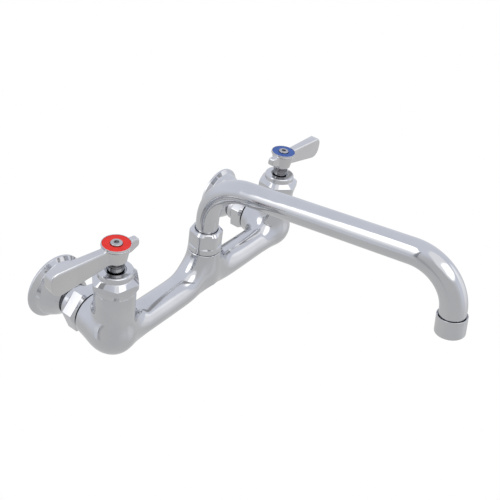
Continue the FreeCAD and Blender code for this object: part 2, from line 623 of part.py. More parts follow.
def stem():
    """Stem with its driver foot and key below, seal and clip grooves, and splines on top."""
    seal_depth = 2 * STEM_SEAL_SECTION
    groove_half = STEM_SEAL_SECTION + SEAL_GROOVE_PLAY
    shaft = turned(
        [
            (0, MOVING_DISC_TOP),
            (DISC_RADIUS, MOVING_DISC_TOP),
            (DISC_RADIUS, DRIVER_TOP),
            (STEM_RADIUS, DRIVER_TOP),
            (STEM_RADIUS, STEM_SEAL_HEIGHT - groove_half),
            (STEM_RADIUS - seal_depth, STEM_SEAL_HEIGHT - groove_half),
            (STEM_RADIUS - seal_depth, STEM_SEAL_HEIGHT + groove_half),
            (STEM_RADIUS, STEM_SEAL_HEIGHT + groove_half),
            (STEM_RADIUS, CLIP_BOTTOM),
            (STEM_RADIUS - CLIP_GROOVE_DEPTH, CLIP_BOTTOM),
            (STEM_RADIUS - CLIP_GROOVE_DEPTH, CLIP_BOTTOM + CLIP_THICKNESS),
            (STEM_RADIUS, CLIP_BOTTOM + CLIP_THICKNESS),
            (STEM_RADIUS, STEM_TOP),
            (0, STEM_TOP),
        ]
    )
    key = Part.makeBox(
        2 * DISC_RADIUS,
        DRIVER_KEY_WIDTH,
        DRIVER_KEY_HEIGHT,
        Vector(-DISC_RADIUS, -DRIVER_KEY_WIDTH / 2, MOVING_DISC_TOP - DRIVER_KEY_HEIGHT),
    )
    key.rotate(ORIGIN, UP, 90)
    key = key.common(disc(DISC_RADIUS, MOVING_DISC_BOTTOM, DRIVER_TOP))
    shaft = shaft.fuse(key)
    shaft.rotate(ORIGIN, UP, CLOSED_TURN)
    shaft = shaft.cut(spline_grooves())
    return shaft.cut(disc(SCREW_RADIUS, INDEX_FLOOR - SCREW_LENGTH, STEM_TOP))


def spline_grooves():
    """Grooves between the teeth of the stem's splined end."""
    grooves = []
    width = math.pi * STEM_RADIUS / SPLINE_COUNT
    floor = STEM_RADIUS - SPLINE_DEPTH
    for k in range(SPLINE_COUNT):
        groove = Part.makeBox(
            STEM_RADIUS, width, SPLINE_LENGTH, Vector(floor, -width / 2, STEM_TOP - SPLINE_LENGTH)
        )
        groove.rotate(ORIGIN, UP, 360 * k / SPLINE_COUNT)
        grooves.append(groove)
    return grooves


def stem_seal():
    return o_ring(STEM_RADIUS - STEM_SEAL_SECTION, STEM_SEAL_SECTION, STEM_SEAL_HEIGHT)


def stem_clip():
    """Open spring clip that keeps the stem from dropping through its guide."""
    top = CLIP_BOTTOM + CLIP_THICKNESS
    clip = ring(CLIP_RADIUS, STEM_RADIUS - CLIP_GROOVE_DEPTH, CLIP_BOTTOM, top)
    corner = Vector(0, -CLIP_OPENING / 2, CLIP_BOTTOM)
    mouth = Part.makeBox(2 * CLIP_RADIUS, CLIP_OPENING, CLIP_THICKNESS, corner)
    return clip.cut(mouth)


# ---------------------------------------------------------------- handle
def blade_outline():
    """Side view of the blade and its tail, in x (reach) and z."""
    slope = (LEVER_ROOT_BOTTOM - LEVER_END_BOTTOM) / (LEVER_REACH - LEVER_END_BOTTOM_ROUND)
    stub_bottom = LEVER_TOP - STUB_END_HEIGHT
    points = [
        Vector(-STUB_REACH, 0, LEVER_TOP),
        Vector(LEVER_REACH, 0, LEVER_TOP),
        Vector(LEVER_REACH - LEVER_END_RAKE, 0, LEVER_END_BOTTOM - LEVER_END_RAKE * slope),
        Vector(0, 0, LEVER_ROOT_BOTTOM),
        Vector(-HUB_LOWER_RADIUS, 0, LEVER_ROOT_BOTTOM),
        Vector(-STUB_REACH + STUB_END_RAKE, 0, stub_bottom),
    ]
    return Part.makePolygon(points + points[:1])


def blade():
    """Lever blade and tail: the side view, trimmed to a plan that widens towards the end."""
    side_view = Part.Face(blade_outline()).extrude(Vector(0, LEVER_END_WIDTH, 0))
    side_view.translate(Vector(0, -LEVER_END_WIDTH / 2, 0))
    rounds = {
        (LEVER_REACH, LEVER_TOP): LEVER_END_TOP_ROUND,
        (LEVER_REACH, LEVER_END_BOTTOM): LEVER_END_BOTTOM_ROUND,
        (-STUB_REACH, LEVER_TOP): STUB_END_ROUND,
        (-STUB_REACH, LEVER_TOP - STUB_END_HEIGHT): STUB_END_ROUND,
    }
    for (reach, height), radius in rounds.items():
        near = min(side_view.Edges, key=lambda edge: edge_distance(edge, reach, height))
        side_view = side_view.makeFillet(radius, [near])
    tail_half = (LEVER_ROOT_WIDTH - (LEVER_END_WIDTH - LEVER_ROOT_WIDTH) * STUB_REACH / LEVER_REACH) / 2
    plan = [
        Vector(-STUB_REACH, -tail_half, 0),
        Vector(LEVER_REACH, -LEVER_END_WIDTH / 2, 0),
        Vector(LEVER_REACH, LEVER_END_WIDTH / 2, 0),
        Vector(-STUB_REACH, tail_half, 0),
    ]
    top_view = Part.Face(Part.makePolygon(plan + plan[:1])).extrude(Vector(0, 0, HUB_RIM_TOP))
    arm = side_view.common(top_view)
    return arm.makeFillet(LEVER_EDGE_ROUND, [edge for edge in arm.Edges if edge.BoundBox.YLength < 2])


def edge_distance(edge, reach, height):
    """Distance of an edge that runs across the blade from a point of its side view."""
    centre = edge.BoundBox.Center
    across = edge.BoundBox.YLength
    miss = math.hypot(centre.x - reach, centre.z - height)
    return miss if across > 1 and edge.BoundBox.XLength < 0.1 else 1e6


def hub():
    return turned(
        [
            (0, HUB_BOTTOM),
            (HUB_LOWER_RADIUS - HUB_BOTTOM_ROUND, HUB_BOTTOM),
            (HUB_LOWER_RADIUS, HUB_BOTTOM + HUB_BOTTOM_ROUND),
            (HUB_UPPER_RADIUS, HUB_RIM_TOP - 2 * HUB_RIM_HEIGHT),
            (HUB_RIM_RADIUS, HUB_RIM_TOP - HUB_RIM_HEIGHT),
            (HUB_RIM_RADIUS, HUB_RIM_TOP),
            (0, HUB_RIM_TOP),
        ]
    )


def lever(azimuth):
    """Handle casting: hub, blade and tail, bored for the stem, the screw and the index."""
    arm = blade()
    arm.rotate(ORIGIN, UP, azimuth)
    shape = hub().fuse(arm)
    shape = shape.cut(disc(INDEX_RADIUS + THREAD_FIT, INDEX_FLOOR, HUB_RIM_TOP))
    shape = shape.cut(disc(SCREW_RADIUS + SCREW_HOLE_PLAY, STEM_TOP, INDEX_FLOOR))
    shape = shape.cut(disc(STEM_RADIUS + THREAD_FIT, HUB_BOTTOM, STEM_TOP + STEM_END_GAP))
    return shape.removeSplitter()


def index_ring():
    return ring(INDEX_RADIUS, INDEX_HOLE_RADIUS, INDEX_FLOOR, INDEX_FLOOR + INDEX_THICKNESS)


def handle_screw():
    """Round-headed screw with a hexagon socket; it holds the handle on the stem."""
    head_top = INDEX_FLOOR + SCREW_HEAD_HEIGHT
    screw = turned(
        [
            (0, INDEX_FLOOR - SCREW_LENGTH),
            (SCREW_RADIUS - THREAD_FIT, INDEX_FLOOR - SCREW_LENGTH),
            (SCREW_RADIUS - THREAD_FIT, INDEX_FLOOR),
            (SCREW_HEAD_RADIUS, INDEX_FLOOR),
            (SCREW_HEAD_RADIUS, head_top - SCREW_HEAD_ROUND),
            corner_round(SCREW_HEAD_RADIUS, head_top, SCREW_HEAD_ROUND, -1, -1),
            (0, head_top),
        ]
    )
    return screw.cut(hexagon(SCREW_SOCKET_FLATS, head_top - SCREW_SOCKET_DEPTH, head_top))


# ---------------------------------------------------------------- spout
def spout_frame():
    """Corners and directions of the spout's centre line, in the plane x = 0."""
    rise = math.radians(SPOUT_RISE)
    lean = math.radians(OUTLET_LEAN)
    run = Vector(0, -math.cos(rise), math.sin(rise))
    drop = Vector(0, -math.sin(lean), -math.cos(lean))
    first = Vector(0, VALVE_Y, SPOUT_CORNER_HEIGHT)
    second = first + run * SPOUT_RUN
    return first, second, run, drop


def bend(corner, before, after, radius):
    """Arc tangent to two straight runs that meet at corner; before and after point downstream."""
    turn = before.getAngle(after)
    setback = radius * math.tan(turn / 2)
    start = corner - before * setback
    end = corner + after * setback
    inward = (after - before).normalize()
    middle = corner + inward * (radius / math.cos(turn / 2) - radius)
    return start, middle, end


def spout_path(extra):
    """Centre line of the tube, from the swivel's flange to its end inside the collar."""
    first, second, run, drop = spout_frame()
    bottom = Vector(0, VALVE_Y, SWIVEL_FLANGE_TOP - extra)
    rise_start, rise_mid, rise_end = bend(first, UP, run, RISER_BEND_RADIUS)
    fall_start, fall_mid, fall_end = bend(second, run, drop, OUTLET_BEND_RADIUS)
    tip = second + drop * (OUTLET_COLLAR_START + COLLAR_GRIP + extra)
    edges = [
        Part.LineSegment(bottom, rise_start).toShape(),
        Part.Arc(rise_start, rise_mid, rise_end).toShape(),
        Part.LineSegment(rise_end, fall_start).toShape(),
        Part.Arc(fall_start, fall_mid, fall_end).toShape(),
        Part.LineSegment(fall_end, tip).toShape(),
    ]
    return Part.Wire(edges)


def pipe(radius, extra):
    path = spout_path(extra)
    start = path.OrderedVertexes[0].Point
    profile = Part.Wire(Part.makeCircle(radius, start, UP))
    return path.makePipeShell([profile], True, False)


def spout_tube():
    return pipe(TUBE_RADIUS, 0).cut(pipe(TUBE_BORE_RADIUS, 1))


def spout_nut():
    """Round nut with wrench flats on its upper part; it holds the swivel on the boss."""
    inner = SPOUT_THREAD_RADIUS + THREAD_FIT
    mouth = TUBE_RADIUS + TUBE_SHADOW_GAP
    lip_bottom = SWIVEL_RING_TOP + FACE_FIT
    flats_bottom = BOSS_TOP + SPOUT_NUT_SKIRT
    upper = turned(
        [
            (inner, flats_bottom),
            (SPOUT_NUT_RADIUS, flats_bottom),
            (SPOUT_NUT_RADIUS, SPOUT_NUT_TOP - SPOUT_NUT_CHAMFER),
            (mouth + SPOUT_NUT_TOP_RING, SPOUT_NUT_TOP),
            (mouth, SPOUT_NUT_TOP),
            (mouth, lip_bottom),
            (inner, lip_bottom),
        ]
    )
    upper = upper.common(hexagon(SPOUT_NUT_FLATS, flats_bottom, SPOUT_NUT_TOP, SPOUT_NUT_TURN))
    return upper.fuse(ring(SPOUT_NUT_RADIUS, inner, BOSS_TOP, flats_bottom)).removeSplitter()


def swivel_sleeve():
    """Turned sleeve soldered into the tube's foot: flange, sealed sleeve and spigot."""
    flange_bottom = SWIVEL_FLANGE_TOP - SWIVEL_FLANGE
    sleeve_bottom = flange_bottom - SWIVEL_SLEEVE_LENGTH
    outline = [
        (SWIVEL_BORE_RADIUS, sleeve_bottom),
        (SWIVEL_SLEEVE_RADIUS, sleeve_bottom),
    ]
    groove_floor = SWIVEL_SOCKET_RADIUS - 2 * SWIVEL_SEAL_SECTION
    for depth in reversed(SWIVEL_SEAL_DEPTHS):
        middle = flange_bottom - depth
        outline += [
            (SWIVEL_SLEEVE_RADIUS, middle - SWIVEL_SEAL_SECTION),
            (groove_floor, middle - SWIVEL_SEAL_SECTION),
            (groove_floor, middle + SWIVEL_SEAL_SECTION),
            (SWIVEL_SLEEVE_RADIUS, middle + SWIVEL_SEAL_SECTION),
        ]
    outline += [
        (SWIVEL_SLEEVE_RADIUS, flange_bottom),
        (SPOUT_THREAD_RADIUS - SWIVEL_PLAY, flange_bottom),
        (SPOUT_THREAD_RADIUS - SWIVEL_PLAY, SWIVEL_FLANGE_TOP),
        (TUBE_BORE_RADIUS, SWIVEL_FLANGE_TOP),
        (TUBE_BORE_RADIUS, SWIVEL_FLANGE_TOP + SWIVEL_SPIGOT_LENGTH),
        (SWIVEL_BORE_RADIUS, SWIVEL_FLANGE_TOP + SWIVEL_SPIGOT_LENGTH),
    ]
    return turned(outline)


def swivel_seals():
    """Two rubber rings in the sleeve's grooves."""
    flange_bottom = SWIVEL_FLANGE_TOP - SWIVEL_FLANGE
    centre = SWIVEL_SOCKET_RADIUS - RUNNING_FIT / 2 - SWIVEL_SEAL_SECTION + RUNNING_FIT / 4
    section = SWIVEL_SEAL_SECTION - RUNNING_FIT
    rings = [o_ring(centre, section, flange_bottom - depth) for depth in SWIVEL_SEAL_DEPTHS]
    return Part.makeCompound(rings)


def swivel_ring():
    """Nylon slip ring between the swivel's flange and the nut's lip."""
    outer = SPOUT_THREAD_RADIUS - SWIVEL_PLAY
    inner = TUBE_RADIUS + RUNNING_FIT
    return ring(outer, inner, SWIVEL_FLANGE_TOP + FACE_FIT, SWIVEL_RING_TOP)


# ---------------------------------------------------------------- outlet
def at_outlet(shape):
    """Moves a shape built on the Z axis, top at z = 0, to the outlet's collar."""
    _, second, _, drop = spout_frame()
    placed = shape.copy()
    placed.rotate(ORIGIN, Vector(1, 0, 0), -OUTLET_LEAN)
    placed.translate(second + drop * OUTLET_COLLAR_START)
    return placed


def outlet_collar():
    """Screwed collar that carries the aerator at the tube's end."""
    mouth = TUBE_RADIUS + TUBE_SHADOW_GAP
    grip = TUBE_RADIUS + THREAD_FIT
    return turned(
        [
            (mouth, 0),
            (mouth, -COLLAR_MOUTH_DEPTH),
            (grip, -COLLAR_MOUTH_DEPTH),
            (grip, -COLLAR_LENGTH + COLLAR_LIP),
            (COLLAR_LIP_RADIUS, -COLLAR_LENGTH + COLLAR_LIP),
            (COLLAR_LIP_RADIUS, -COLLAR_LENGTH),
            (COLLAR_RADIUS - COLLAR_BOTTOM_ROUND, -COLLAR_LENGTH),
            (
                COLLAR_RADIUS - COLLAR_BOTTOM_ROUND * (1 - math.sqrt(0.5)),
                -COLLAR_LENGTH + COLLAR_BOTTOM_ROUND * (1 - math.sqrt(0.5)),
                COLLAR_RADIUS,
                -COLLAR_LENGTH + COLLAR_BOTTOM_ROUND,
            ),
            (COLLAR_RADIUS, 0),
        ]
    )


def aerator_washer():
    return ring(AERATOR_RADIUS, TUBE_BORE_RADIUS, -COLLAR_GRIP - AERATOR_WASHER_THICKNESS, -COLLAR_GRIP)


def aerator_insert():
    """Plastic insert whose bottom plate is drilled in rings."""
    top = -COLLAR_GRIP - AERATOR_WASHER_THICKNESS
    bottom = -COLLAR_LENGTH + COLLAR_LIP
    plate_top = bottom + AERATOR_WALL
    wall = ring(AERATOR_RADIUS, AERATOR_RADIUS - AERATOR_WALL, plate_top, top)
    shape = wall.fuse(disc(AERATOR_RADIUS, bottom, plate_top))
    holes = []
    for row, radius in enumerate(AERATOR_RINGS):
        count = 6 * (row + 1)
        for k in range(count):
            angle = 2 * math.pi * k / count
            centre = Vector(radius * math.cos(angle), radius * math.sin(angle), bottom)
            holes.append(Part.makeCylinder(AERATOR_HOLE_RADIUS, AERATOR_WALL, centre, UP))
    return shape.cut(holes).removeSplitter()


# ---------------------------------------------------------------- write the nodes
def main():
    os.makedirs("parts", exist_ok=True)
    save("body", body())
    sides = (
        ("hot", -1, HOT_COUPLING_TURN, HOT_BONNET_TURN, HOT_LEVER_AZIMUTH),
        ("cold", 1, COLD_COUPLING_TURN, COLD_BONNET_TURN, COLD_LEVER_AZIMUTH),
    )
    for name, side, coupling_turn, bonnet_turn, azimuth in sides:
        save(name + "_wall_flange", at_inlet(wall_flange(), side))
        save(name + "_coupling_nut", at_inlet(coupling_nut(coupling_turn), side))
        save(name + "_coupling_washer", at_inlet(coupling_washer(), side))
        save(name + "_bonnet_nut", at_valve(bonnet_nut(bonnet_turn), side))
        save(name + "_seat_seal", at_valve(seat_seal(), side))
        save(name + "_fixed_disc", at_valve(fixed_disc(), side))
        save(name + "_moving_disc", at_valve(moving_disc(), side))
        save(name + "_cartridge_body", at_valve(cartridge_body(), side))
        save(name + "_cartridge_seal", at_valve(body_seal(), side))
        save(name + "_thrust_washer", at_valve(thrust_washer(), side))
        save(name + "_stem", at_valve(stem(), side))
        save(name + "_stem_seal", at_valve(stem_seal(), side))
        save(name + "_stem_clip", at_valve(stem_clip(), side))
        save(name + "_lever", at_valve(lever(azimuth), side))
        save(name + "_index_ring", at_valve(index_ring(), side))
        save(name + "_handle_screw", at_valve(handle_screw(), side))
    save("spout_nut", at_spout(spout_nut()))
    save("spout_tube", spout_tube())
    save("swivel_sleeve", at_spout(swivel_sleeve()))
    save("swivel_seals", at_spout(swivel_seals()))
    save("swivel_ring", at_spout(swivel_ring()))
    save("outlet_collar", at_outlet(outlet_collar()))
    save("aerator_washer", at_outlet(aerator_washer()))
    save("aerator_insert", at_outlet(aerator_insert()))


main()
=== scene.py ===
# Wall-mounted mixing faucet: chromed cast body with two lever valves and a swing spout.
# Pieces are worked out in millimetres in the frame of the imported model: the wall is y = 0, the
# faucet stands out towards -Y, the hot side is at -X, and z = 0 is midway between the supply threads.
import math

import bmesh
import bpy
import numpy as np
from mathutils import Matrix, Vector


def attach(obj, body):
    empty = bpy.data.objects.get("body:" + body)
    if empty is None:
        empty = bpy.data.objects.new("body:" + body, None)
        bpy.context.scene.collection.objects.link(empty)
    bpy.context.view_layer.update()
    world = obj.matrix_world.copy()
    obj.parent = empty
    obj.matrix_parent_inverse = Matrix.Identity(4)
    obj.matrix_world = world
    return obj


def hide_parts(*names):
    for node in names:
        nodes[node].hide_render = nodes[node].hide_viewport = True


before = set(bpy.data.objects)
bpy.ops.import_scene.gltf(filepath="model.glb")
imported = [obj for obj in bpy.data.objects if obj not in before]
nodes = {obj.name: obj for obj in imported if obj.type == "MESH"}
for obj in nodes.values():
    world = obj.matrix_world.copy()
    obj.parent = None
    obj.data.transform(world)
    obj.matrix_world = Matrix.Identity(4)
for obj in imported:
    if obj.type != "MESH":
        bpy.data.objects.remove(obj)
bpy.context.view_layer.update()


# ------------------------------------------------------------------ chrome on cast brass
# The body, the nuts, the flanges and the levers are brass, ground and buffed, then nickel and
# chromium plated. Buffing leaves the faces a little wavy, and handling leaves faint haze and
# hairline scratches, so the gloss varies over each piece.
def new_finish(name):
    """A material with its node tree, its shader and the piece's own coordinates."""
    finish = bpy.data.materials.new(name)
    finish.use_nodes = True
    tree = finish.node_tree
    shader = tree.nodes["Principled BSDF"]
    place = tree.nodes.new("ShaderNodeTexCoord")
    return finish, tree, shader, place.outputs["Object"]


def grain(tree, place, scale, detail, stretch=(1, 1, 1)):
    """A noise pattern on the piece, stretched along the axes by the given factors."""
    mapping = tree.nodes.new("ShaderNodeMapping")
    mapping.inputs["Scale"].default_value = stretch
    noise = tree.nodes.new("ShaderNodeTexNoise")
    noise.inputs["Scale"].default_value = scale
    noise.inputs["Detail"].default_value = detail
    tree.links.new(place, mapping.inputs["Vector"])
    tree.links.new(mapping.outputs["Vector"], noise.inputs["Vector"])
    return noise.outputs["Fac"]


def spread(tree, value, low, high, start=0.35, end=0.65):
    """Maps a pattern's middle range to low ... high."""
    remap = tree.nodes.new("ShaderNodeMapRange")
    remap.inputs["From Min"].default_value = start
    remap.inputs["From Max"].default_value = end
    remap.inputs["To Min"].default_value = low
    remap.inputs["To Max"].default_value = high
    tree.links.new(value, remap.inputs["Value"])
    return remap.outputs["Result"]


def two_tones(tree, value, first, second):
    """Blends two colours by a 0 ... 1 value."""
    blend = tree.nodes.new("ShaderNodeMix")
    blend.data_type = "RGBA"
    tree.links.new(value, blend.inputs["Factor"])
    blend.inputs["A"].default_value = (*first, 1)
    blend.inputs["B"].default_value = (*second, 1)
    return blend.outputs["Result"]


def relief(tree, shader, height, depth):
    """Bump from a pattern; depth is in metres."""
    bump = tree.nodes.new("ShaderNodeBump")
    bump.inputs["Strength"].default_value = 1.0
    bump.inputs["Distance"].default_value = depth
    tree.links.new(height, bump.inputs["Height"])
    tree.links.new(bump.outputs["Normal"], shader.inputs["Normal"])


HAZE_GAIN = 1.6              # how much rougher the haziest patches are than the clearest
HAIRLINE_ROUGHNESS = 0.03    # and what a scratch adds


def plated(name, light, shade, roughness, waviness):
    """Bright plating: two close tones, hazy patches, hairlines and a slow waviness."""
    finish, tree, shader, place = new_finish(name)
    shader.inputs["Metallic"].default_value = 1.0
    cloud = spread(tree, grain(tree, place, scale=38, detail=3), 0, 1)
    tree.links.new(two_tones(tree, cloud, light, shade), shader.inputs["Base Color"])
    scratches = grain(tree, place, scale=420, detail=2, stretch=(1, 1, 0.06))
    hairline = spread(tree, scratches, 0, 1, start=0.55, end=0.75)
    haze = spread(tree, grain(tree, place, scale=22, detail=4), roughness, HAZE_GAIN * roughness)
    worn = tree.nodes.new("ShaderNodeMath")
    worn.operation = "MULTIPLY_ADD"
    tree.links.new(hairline, worn.inputs[0])
    worn.inputs[1].default_value = HAIRLINE_ROUGHNESS
    tree.links.new(haze, worn.inputs[2])
    tree.links.new(worn.outputs["Value"], shader.inputs["Roughness"])
    relief(tree, shader, grain(tree, place, scale=60, detail=1), waviness)
    return finish


body_chrome = plated("body_chrome", (0.60, 0.605, 0.62), (0.56, 0.565, 0.585), 0.075, 0.00010)


# ------------------------------------------------------------------ body casting
# One hollow brass casting: two valve towers on round bellies, two inlet bosses towards the wall,
# and a round arm from each tower to the boss that carries the spout. All corners between them are
# cast fillets, so the skin is one smooth surface, found where a soft union of the shapes is zero.
VALVE_X = 101.6
VALVE_Y = -64.0
AXIS_DROP = 2.6              # the couplings lie this far below the supply threads
TOWER_RADIUS = 15.1
TOWER_TOP = 34.4
TOWER_FOOT = 3.0             # its straight wall starts this far above the belly's middle
BELLY_RADIUS = 16.6
BELLY_LOW = -22.3
BELLY_CAP = 14.0             # radius of the ball that rounds the belly's outer side
BELLY_CAP_REACH = 18.9
BELLY_CAP_Z = -4.0
ARM_RADIUS = 13.0
ARM_Z = -10.9
ARM_SWELL_START = 73.0       # from here out, the arm grows towards its tower
ARM_SWELL_LENGTH = 18.0
ARM_SWELL_WIDTH = 1.2
ARM_SWELL_RISE = 3.8
CROWN_RISE = 17.6            # the arms' crown under the spout's boss
CROWN_REACH = 17.6
BOSS_RADIUS = 13.7
BOSS_TOP = 19.8
INLET_RADIUS = 16.6
INLET_SWELL = 18.4
INLET_FACE = 40.6            # depths of the inlet boss, measured out of the wall
INLET_WIDEST = 54.0
INLET_RUN_IN = 22.6
INLET_END = 74.0
INLET_EDGE = 0.8
SPIGOT_RADIUS = 11.8
SPIGOT_MIDDLE = 36.5
SPIGOT_HALF_LENGTH = 5.5
TURNED_EDGE = 0.3            # edges that were turned after casting
BELLY_JOIN = 7.0             # reaches of the cast fillets
CAP_JOIN = 8.0
INLET_JOIN = 13.0
BOSS_JOIN = 7.0
TOWER_JOIN = 8.0


def soft_min(a, b, reach):
    """The smaller of two distances, with a smooth join that starts where they differ by reach."""
    near = np.maximum(reach - np.abs(a - b), 0) / reach
    return np.minimum(a, b) - near**3 * reach / 6


def round_max(a, b, radius):
    """The larger of two distances, with the corner between them rounded to a radius."""
    corner = np.hypot(np.maximum(a + radius, 0), np.maximum(b + radius, 0))
    return np.minimum(np.maximum(a, b), -radius) + corner


def cast_body(x, y, z):
    """Below zero inside the body, in millimetres."""
    across = np.abs(x)
    out = y - VALVE_Y
    from_valve = across - VALVE_X
    neck = np.clip((across - ARM_SWELL_START) / ARM_SWELL_LENGTH, 0, 1)
    swollen = neck**3 * (10 - 15 * neck + 6 * neck**2)
    rise = CROWN_RISE / (1 + (across / CROWN_REACH) ** 5) + ARM_SWELL_RISE * swollen
    half_height = ARM_RADIUS + rise / 2
    half_width = ARM_RADIUS + ARM_SWELL_WIDTH * swollen
    stretch_x = np.maximum(from_valve, 0) / ARM_RADIUS
    stretch_z = (z - ARM_Z - rise / 2) / half_height
    arm = (np.sqrt(stretch_x**2 + (out / half_width) ** 2 + stretch_z**2) - 1) * half_width

    depth = -y
    from_inlet = np.hypot(from_valve, z + AXIS_DROP)
    swell = np.clip((depth - INLET_FACE) / (INLET_WIDEST - INLET_FACE), 0, 1)
    run_in = np.clip(1 - (np.maximum(depth - INLET_WIDEST, 0) / INLET_RUN_IN) ** 2, 0, 1)
    widening = INLET_RADIUS + (INLET_SWELL - INLET_RADIUS) * np.sin(swell * math.pi / 2)
    inlet = from_inlet - widening * np.sqrt(run_in) + np.maximum(depth - INLET_END, 0)
    inlet = round_max(inlet, INLET_FACE - depth, INLET_EDGE)

    boss = round_max(np.hypot(x, out) - BOSS_RADIUS, z - BOSS_TOP, TURNED_EDGE)
    boss = np.maximum(boss, ARM_Z - z)

    belly_z = BELLY_LOW + BELLY_RADIUS
    around = np.hypot(from_valve, out)
    barrel = np.hypot(around, np.maximum(belly_z + TOWER_FOOT - z, 0)) - TOWER_RADIUS
    barrel = round_max(barrel, z - TOWER_TOP, TURNED_EDGE)
    belly = np.sqrt(around**2 + (z - belly_z) ** 2) - BELLY_RADIUS
    from_cap = from_valve - BELLY_CAP_REACH + BELLY_CAP
    cap = np.sqrt(from_cap**2 + out**2 + (z - BELLY_CAP_Z) ** 2) - BELLY_CAP
    tower = soft_min(soft_min(barrel, belly, BELLY_JOIN), cap, CAP_JOIN)

    skin = soft_min(arm, inlet, INLET_JOIN)
    skin = soft_min(skin, boss, BOSS_JOIN)
    skin = soft_min(skin, tower, TOWER_JOIN)
    along_spigot = np.abs(depth - SPIGOT_MIDDLE) - SPIGOT_HALF_LENGTH
    spigot = np.maximum(from_inlet - SPIGOT_RADIUS, along_spigot)
    return np.minimum(skin, spigot)


def skin_of(field, low, high, cell):
    """Closed quad mesh of a field's zero surface: one vertex in each grid cell that the surface
    crosses, moved on to the surface. Returns points, quads and the surface's own normals."""
    grid = [np.arange(a, b + cell, cell) for a, b in zip(low, high)]
    value = field(*np.meshgrid(*grid, indexing="ij"))
    inside = value < 0
    cells = tuple(n - 1 for n in value.shape)

    def corner(array, dx, dy, dz):
        return array[dx : dx + cells[0], dy : dy + cells[1], dz : dz + cells[2]]

    offsets = [(i, j, k) for i in (0, 1) for j in (0, 1) for k in (0, 1)]
    filled = sum(corner(inside, *o).astype(np.int8) for o in offsets)
    active = (filled > 0) & (filled < 8)
    number = np.full(cells, -1)
    number[active] = np.arange(active.sum())
    place = np.argwhere(active).astype(float)
    total = np.zeros_like(place)
    hits = np.zeros(len(place))
    for start in offsets:
        for axis in range(3):
            if start[axis]:
                continue
            end = tuple(o + (axis == a) for a, o in enumerate(start))
            first = corner(value, *start)[active]
            last = corner(value, *end)[active]
            crossed = (first < 0) != (last < 0)
            share = np.where(crossed, first / np.where(crossed, first - last, 1), 0)
            step = np.array(start, float)[None, :].repeat(len(place), 0)
            step[:, axis] += share
            total += step * crossed[:, None]
            hits += crossed
    points = (place + total / hits[:, None]) * cell + np.array([g[0] for g in grid])

    quads = []
    for axis in range(3):
        one, two = [a for a in range(3) if a != axis]
        here = [slice(None)] * 3
        there = [slice(None)] * 3
        here[axis] = slice(0, -1)
        there[axis] = slice(1, None)
        enters = inside[tuple(here)] != inside[tuple(there)]
        at = np.argwhere(enters)
        keep = np.all([(at[:, a] > 0) & (at[:, a] < cells[a]) for a in (one, two)], axis=0)
        at = at[keep]
        ring = []
        for shift_one, shift_two in ((1, 1), (0, 1), (0, 0), (1, 0)):
            cell_at = at.copy()
            cell_at[:, one] -= shift_one
            cell_at[:, two] -= shift_two
            ring.append(number[tuple(cell_at.T)])
        faces = np.stack(ring, 1)
        outward = inside[tuple(at.T)] ^ (axis == 1)
        faces[~outward] = faces[~outward][:, ::-1]
        quads.append(faces)
    quads = np.concatenate(quads)

    probe = 0.01
    least_slope = 0.05
    for _ in range(5):
        gradient = np.stack(
            [
                (field(*(points + probe * e).T) - field(*(points - probe * e).T)) / (2 * probe)
                for e in np.eye(3)
            ],
            1,
        )
        slope = np.maximum((gradient**2).sum(1), least_slope)
        points -= np.clip(field(*points.T) / slope, -cell, cell)[:, None] * gradient
    normals = gradient / np.linalg.norm(gradient, axis=1)[:, None]
    return points, quads, normals


def piece_from(name, points, faces, finish, body, replaced, normals=None):
    """Makes the shown piece from points in millimetres and hides the nodes it stands for."""
    mesh = bpy.data.meshes.new(name)
    mesh.from_pydata((points * 0.001).tolist(), [], faces.tolist())
    mesh.polygons.foreach_set("use_smooth", [True] * len(mesh.polygons))
    mesh.materials.append(finish)
    if normals is not None:
        mesh.normals_split_custom_set_from_vertices(normals.tolist())
    piece = bpy.data.objects.new(name, mesh)
    bpy.context.scene.collection.objects.link(piece)
    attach(piece, body)
    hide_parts(*replaced)
    return piece


body_points, body_quads, body_normals = skin_of(
    cast_body, low=(-123, -83, -26), high=(123, -29, 37), cell=0.8
)
piece_from(
    "body_casting",
    body_points,
    body_quads,
    body_chrome,
    "faucet_body",
    ["body"],
    body_normals,
)


# ------------------------------------------------------------------ wall flanges
# Turned flanges that screw on to the supply pipes and hide the holes in the wall. Each carries,
# a little below its own centre, the tail that the coupling nut draws to the body.
trim_chrome = plated("trim_chrome", (0.61, 0.615, 0.63), (0.57, 0.575, 0.595), 0.06, 0.00005)


HOLD = 0.12                  # the points that hold an arc lie this far from its ends,
HOLD_SHARE = 0.4             # or at this share of the flat beside it, where that is shorter


def rounded(outline, steps=6):
    """Dense closed outline: each (radius, height, round) corner becomes an arc, and each arc is
    held by points close to its ends, so that the flats beside it stay flat."""
    count = len(outline)
    dense = []
    for i, (radius, height, size) in enumerate(outline):
        here = np.array([radius, height])
        back = np.array(outline[i - 1][:2]) - here
        ahead = np.array(outline[(i + 1) % count][:2]) - here
        back_length, ahead_length = np.linalg.norm(back), np.linalg.norm(ahead)
        back, ahead = back / back_length, ahead / ahead_length
        half = math.acos(np.clip(np.dot(back, ahead), -1, 1)) / 2
        setback = size / math.tan(half)
        start, end = here + back * setback, here + ahead * setback
        hold = min(HOLD, HOLD_SHARE * (back_length - setback), HOLD_SHARE * (ahead_length - setback))
        dense.append(start + back * max(hold, 0))
        for k in range(steps + 1):
            t = k / steps
            dense.append((1 - t) ** 2 * start + 2 * t * (1 - t) * here + t**2 * end)
        dense.append(end + ahead * max(hold, 0))
    return np.array(dense)


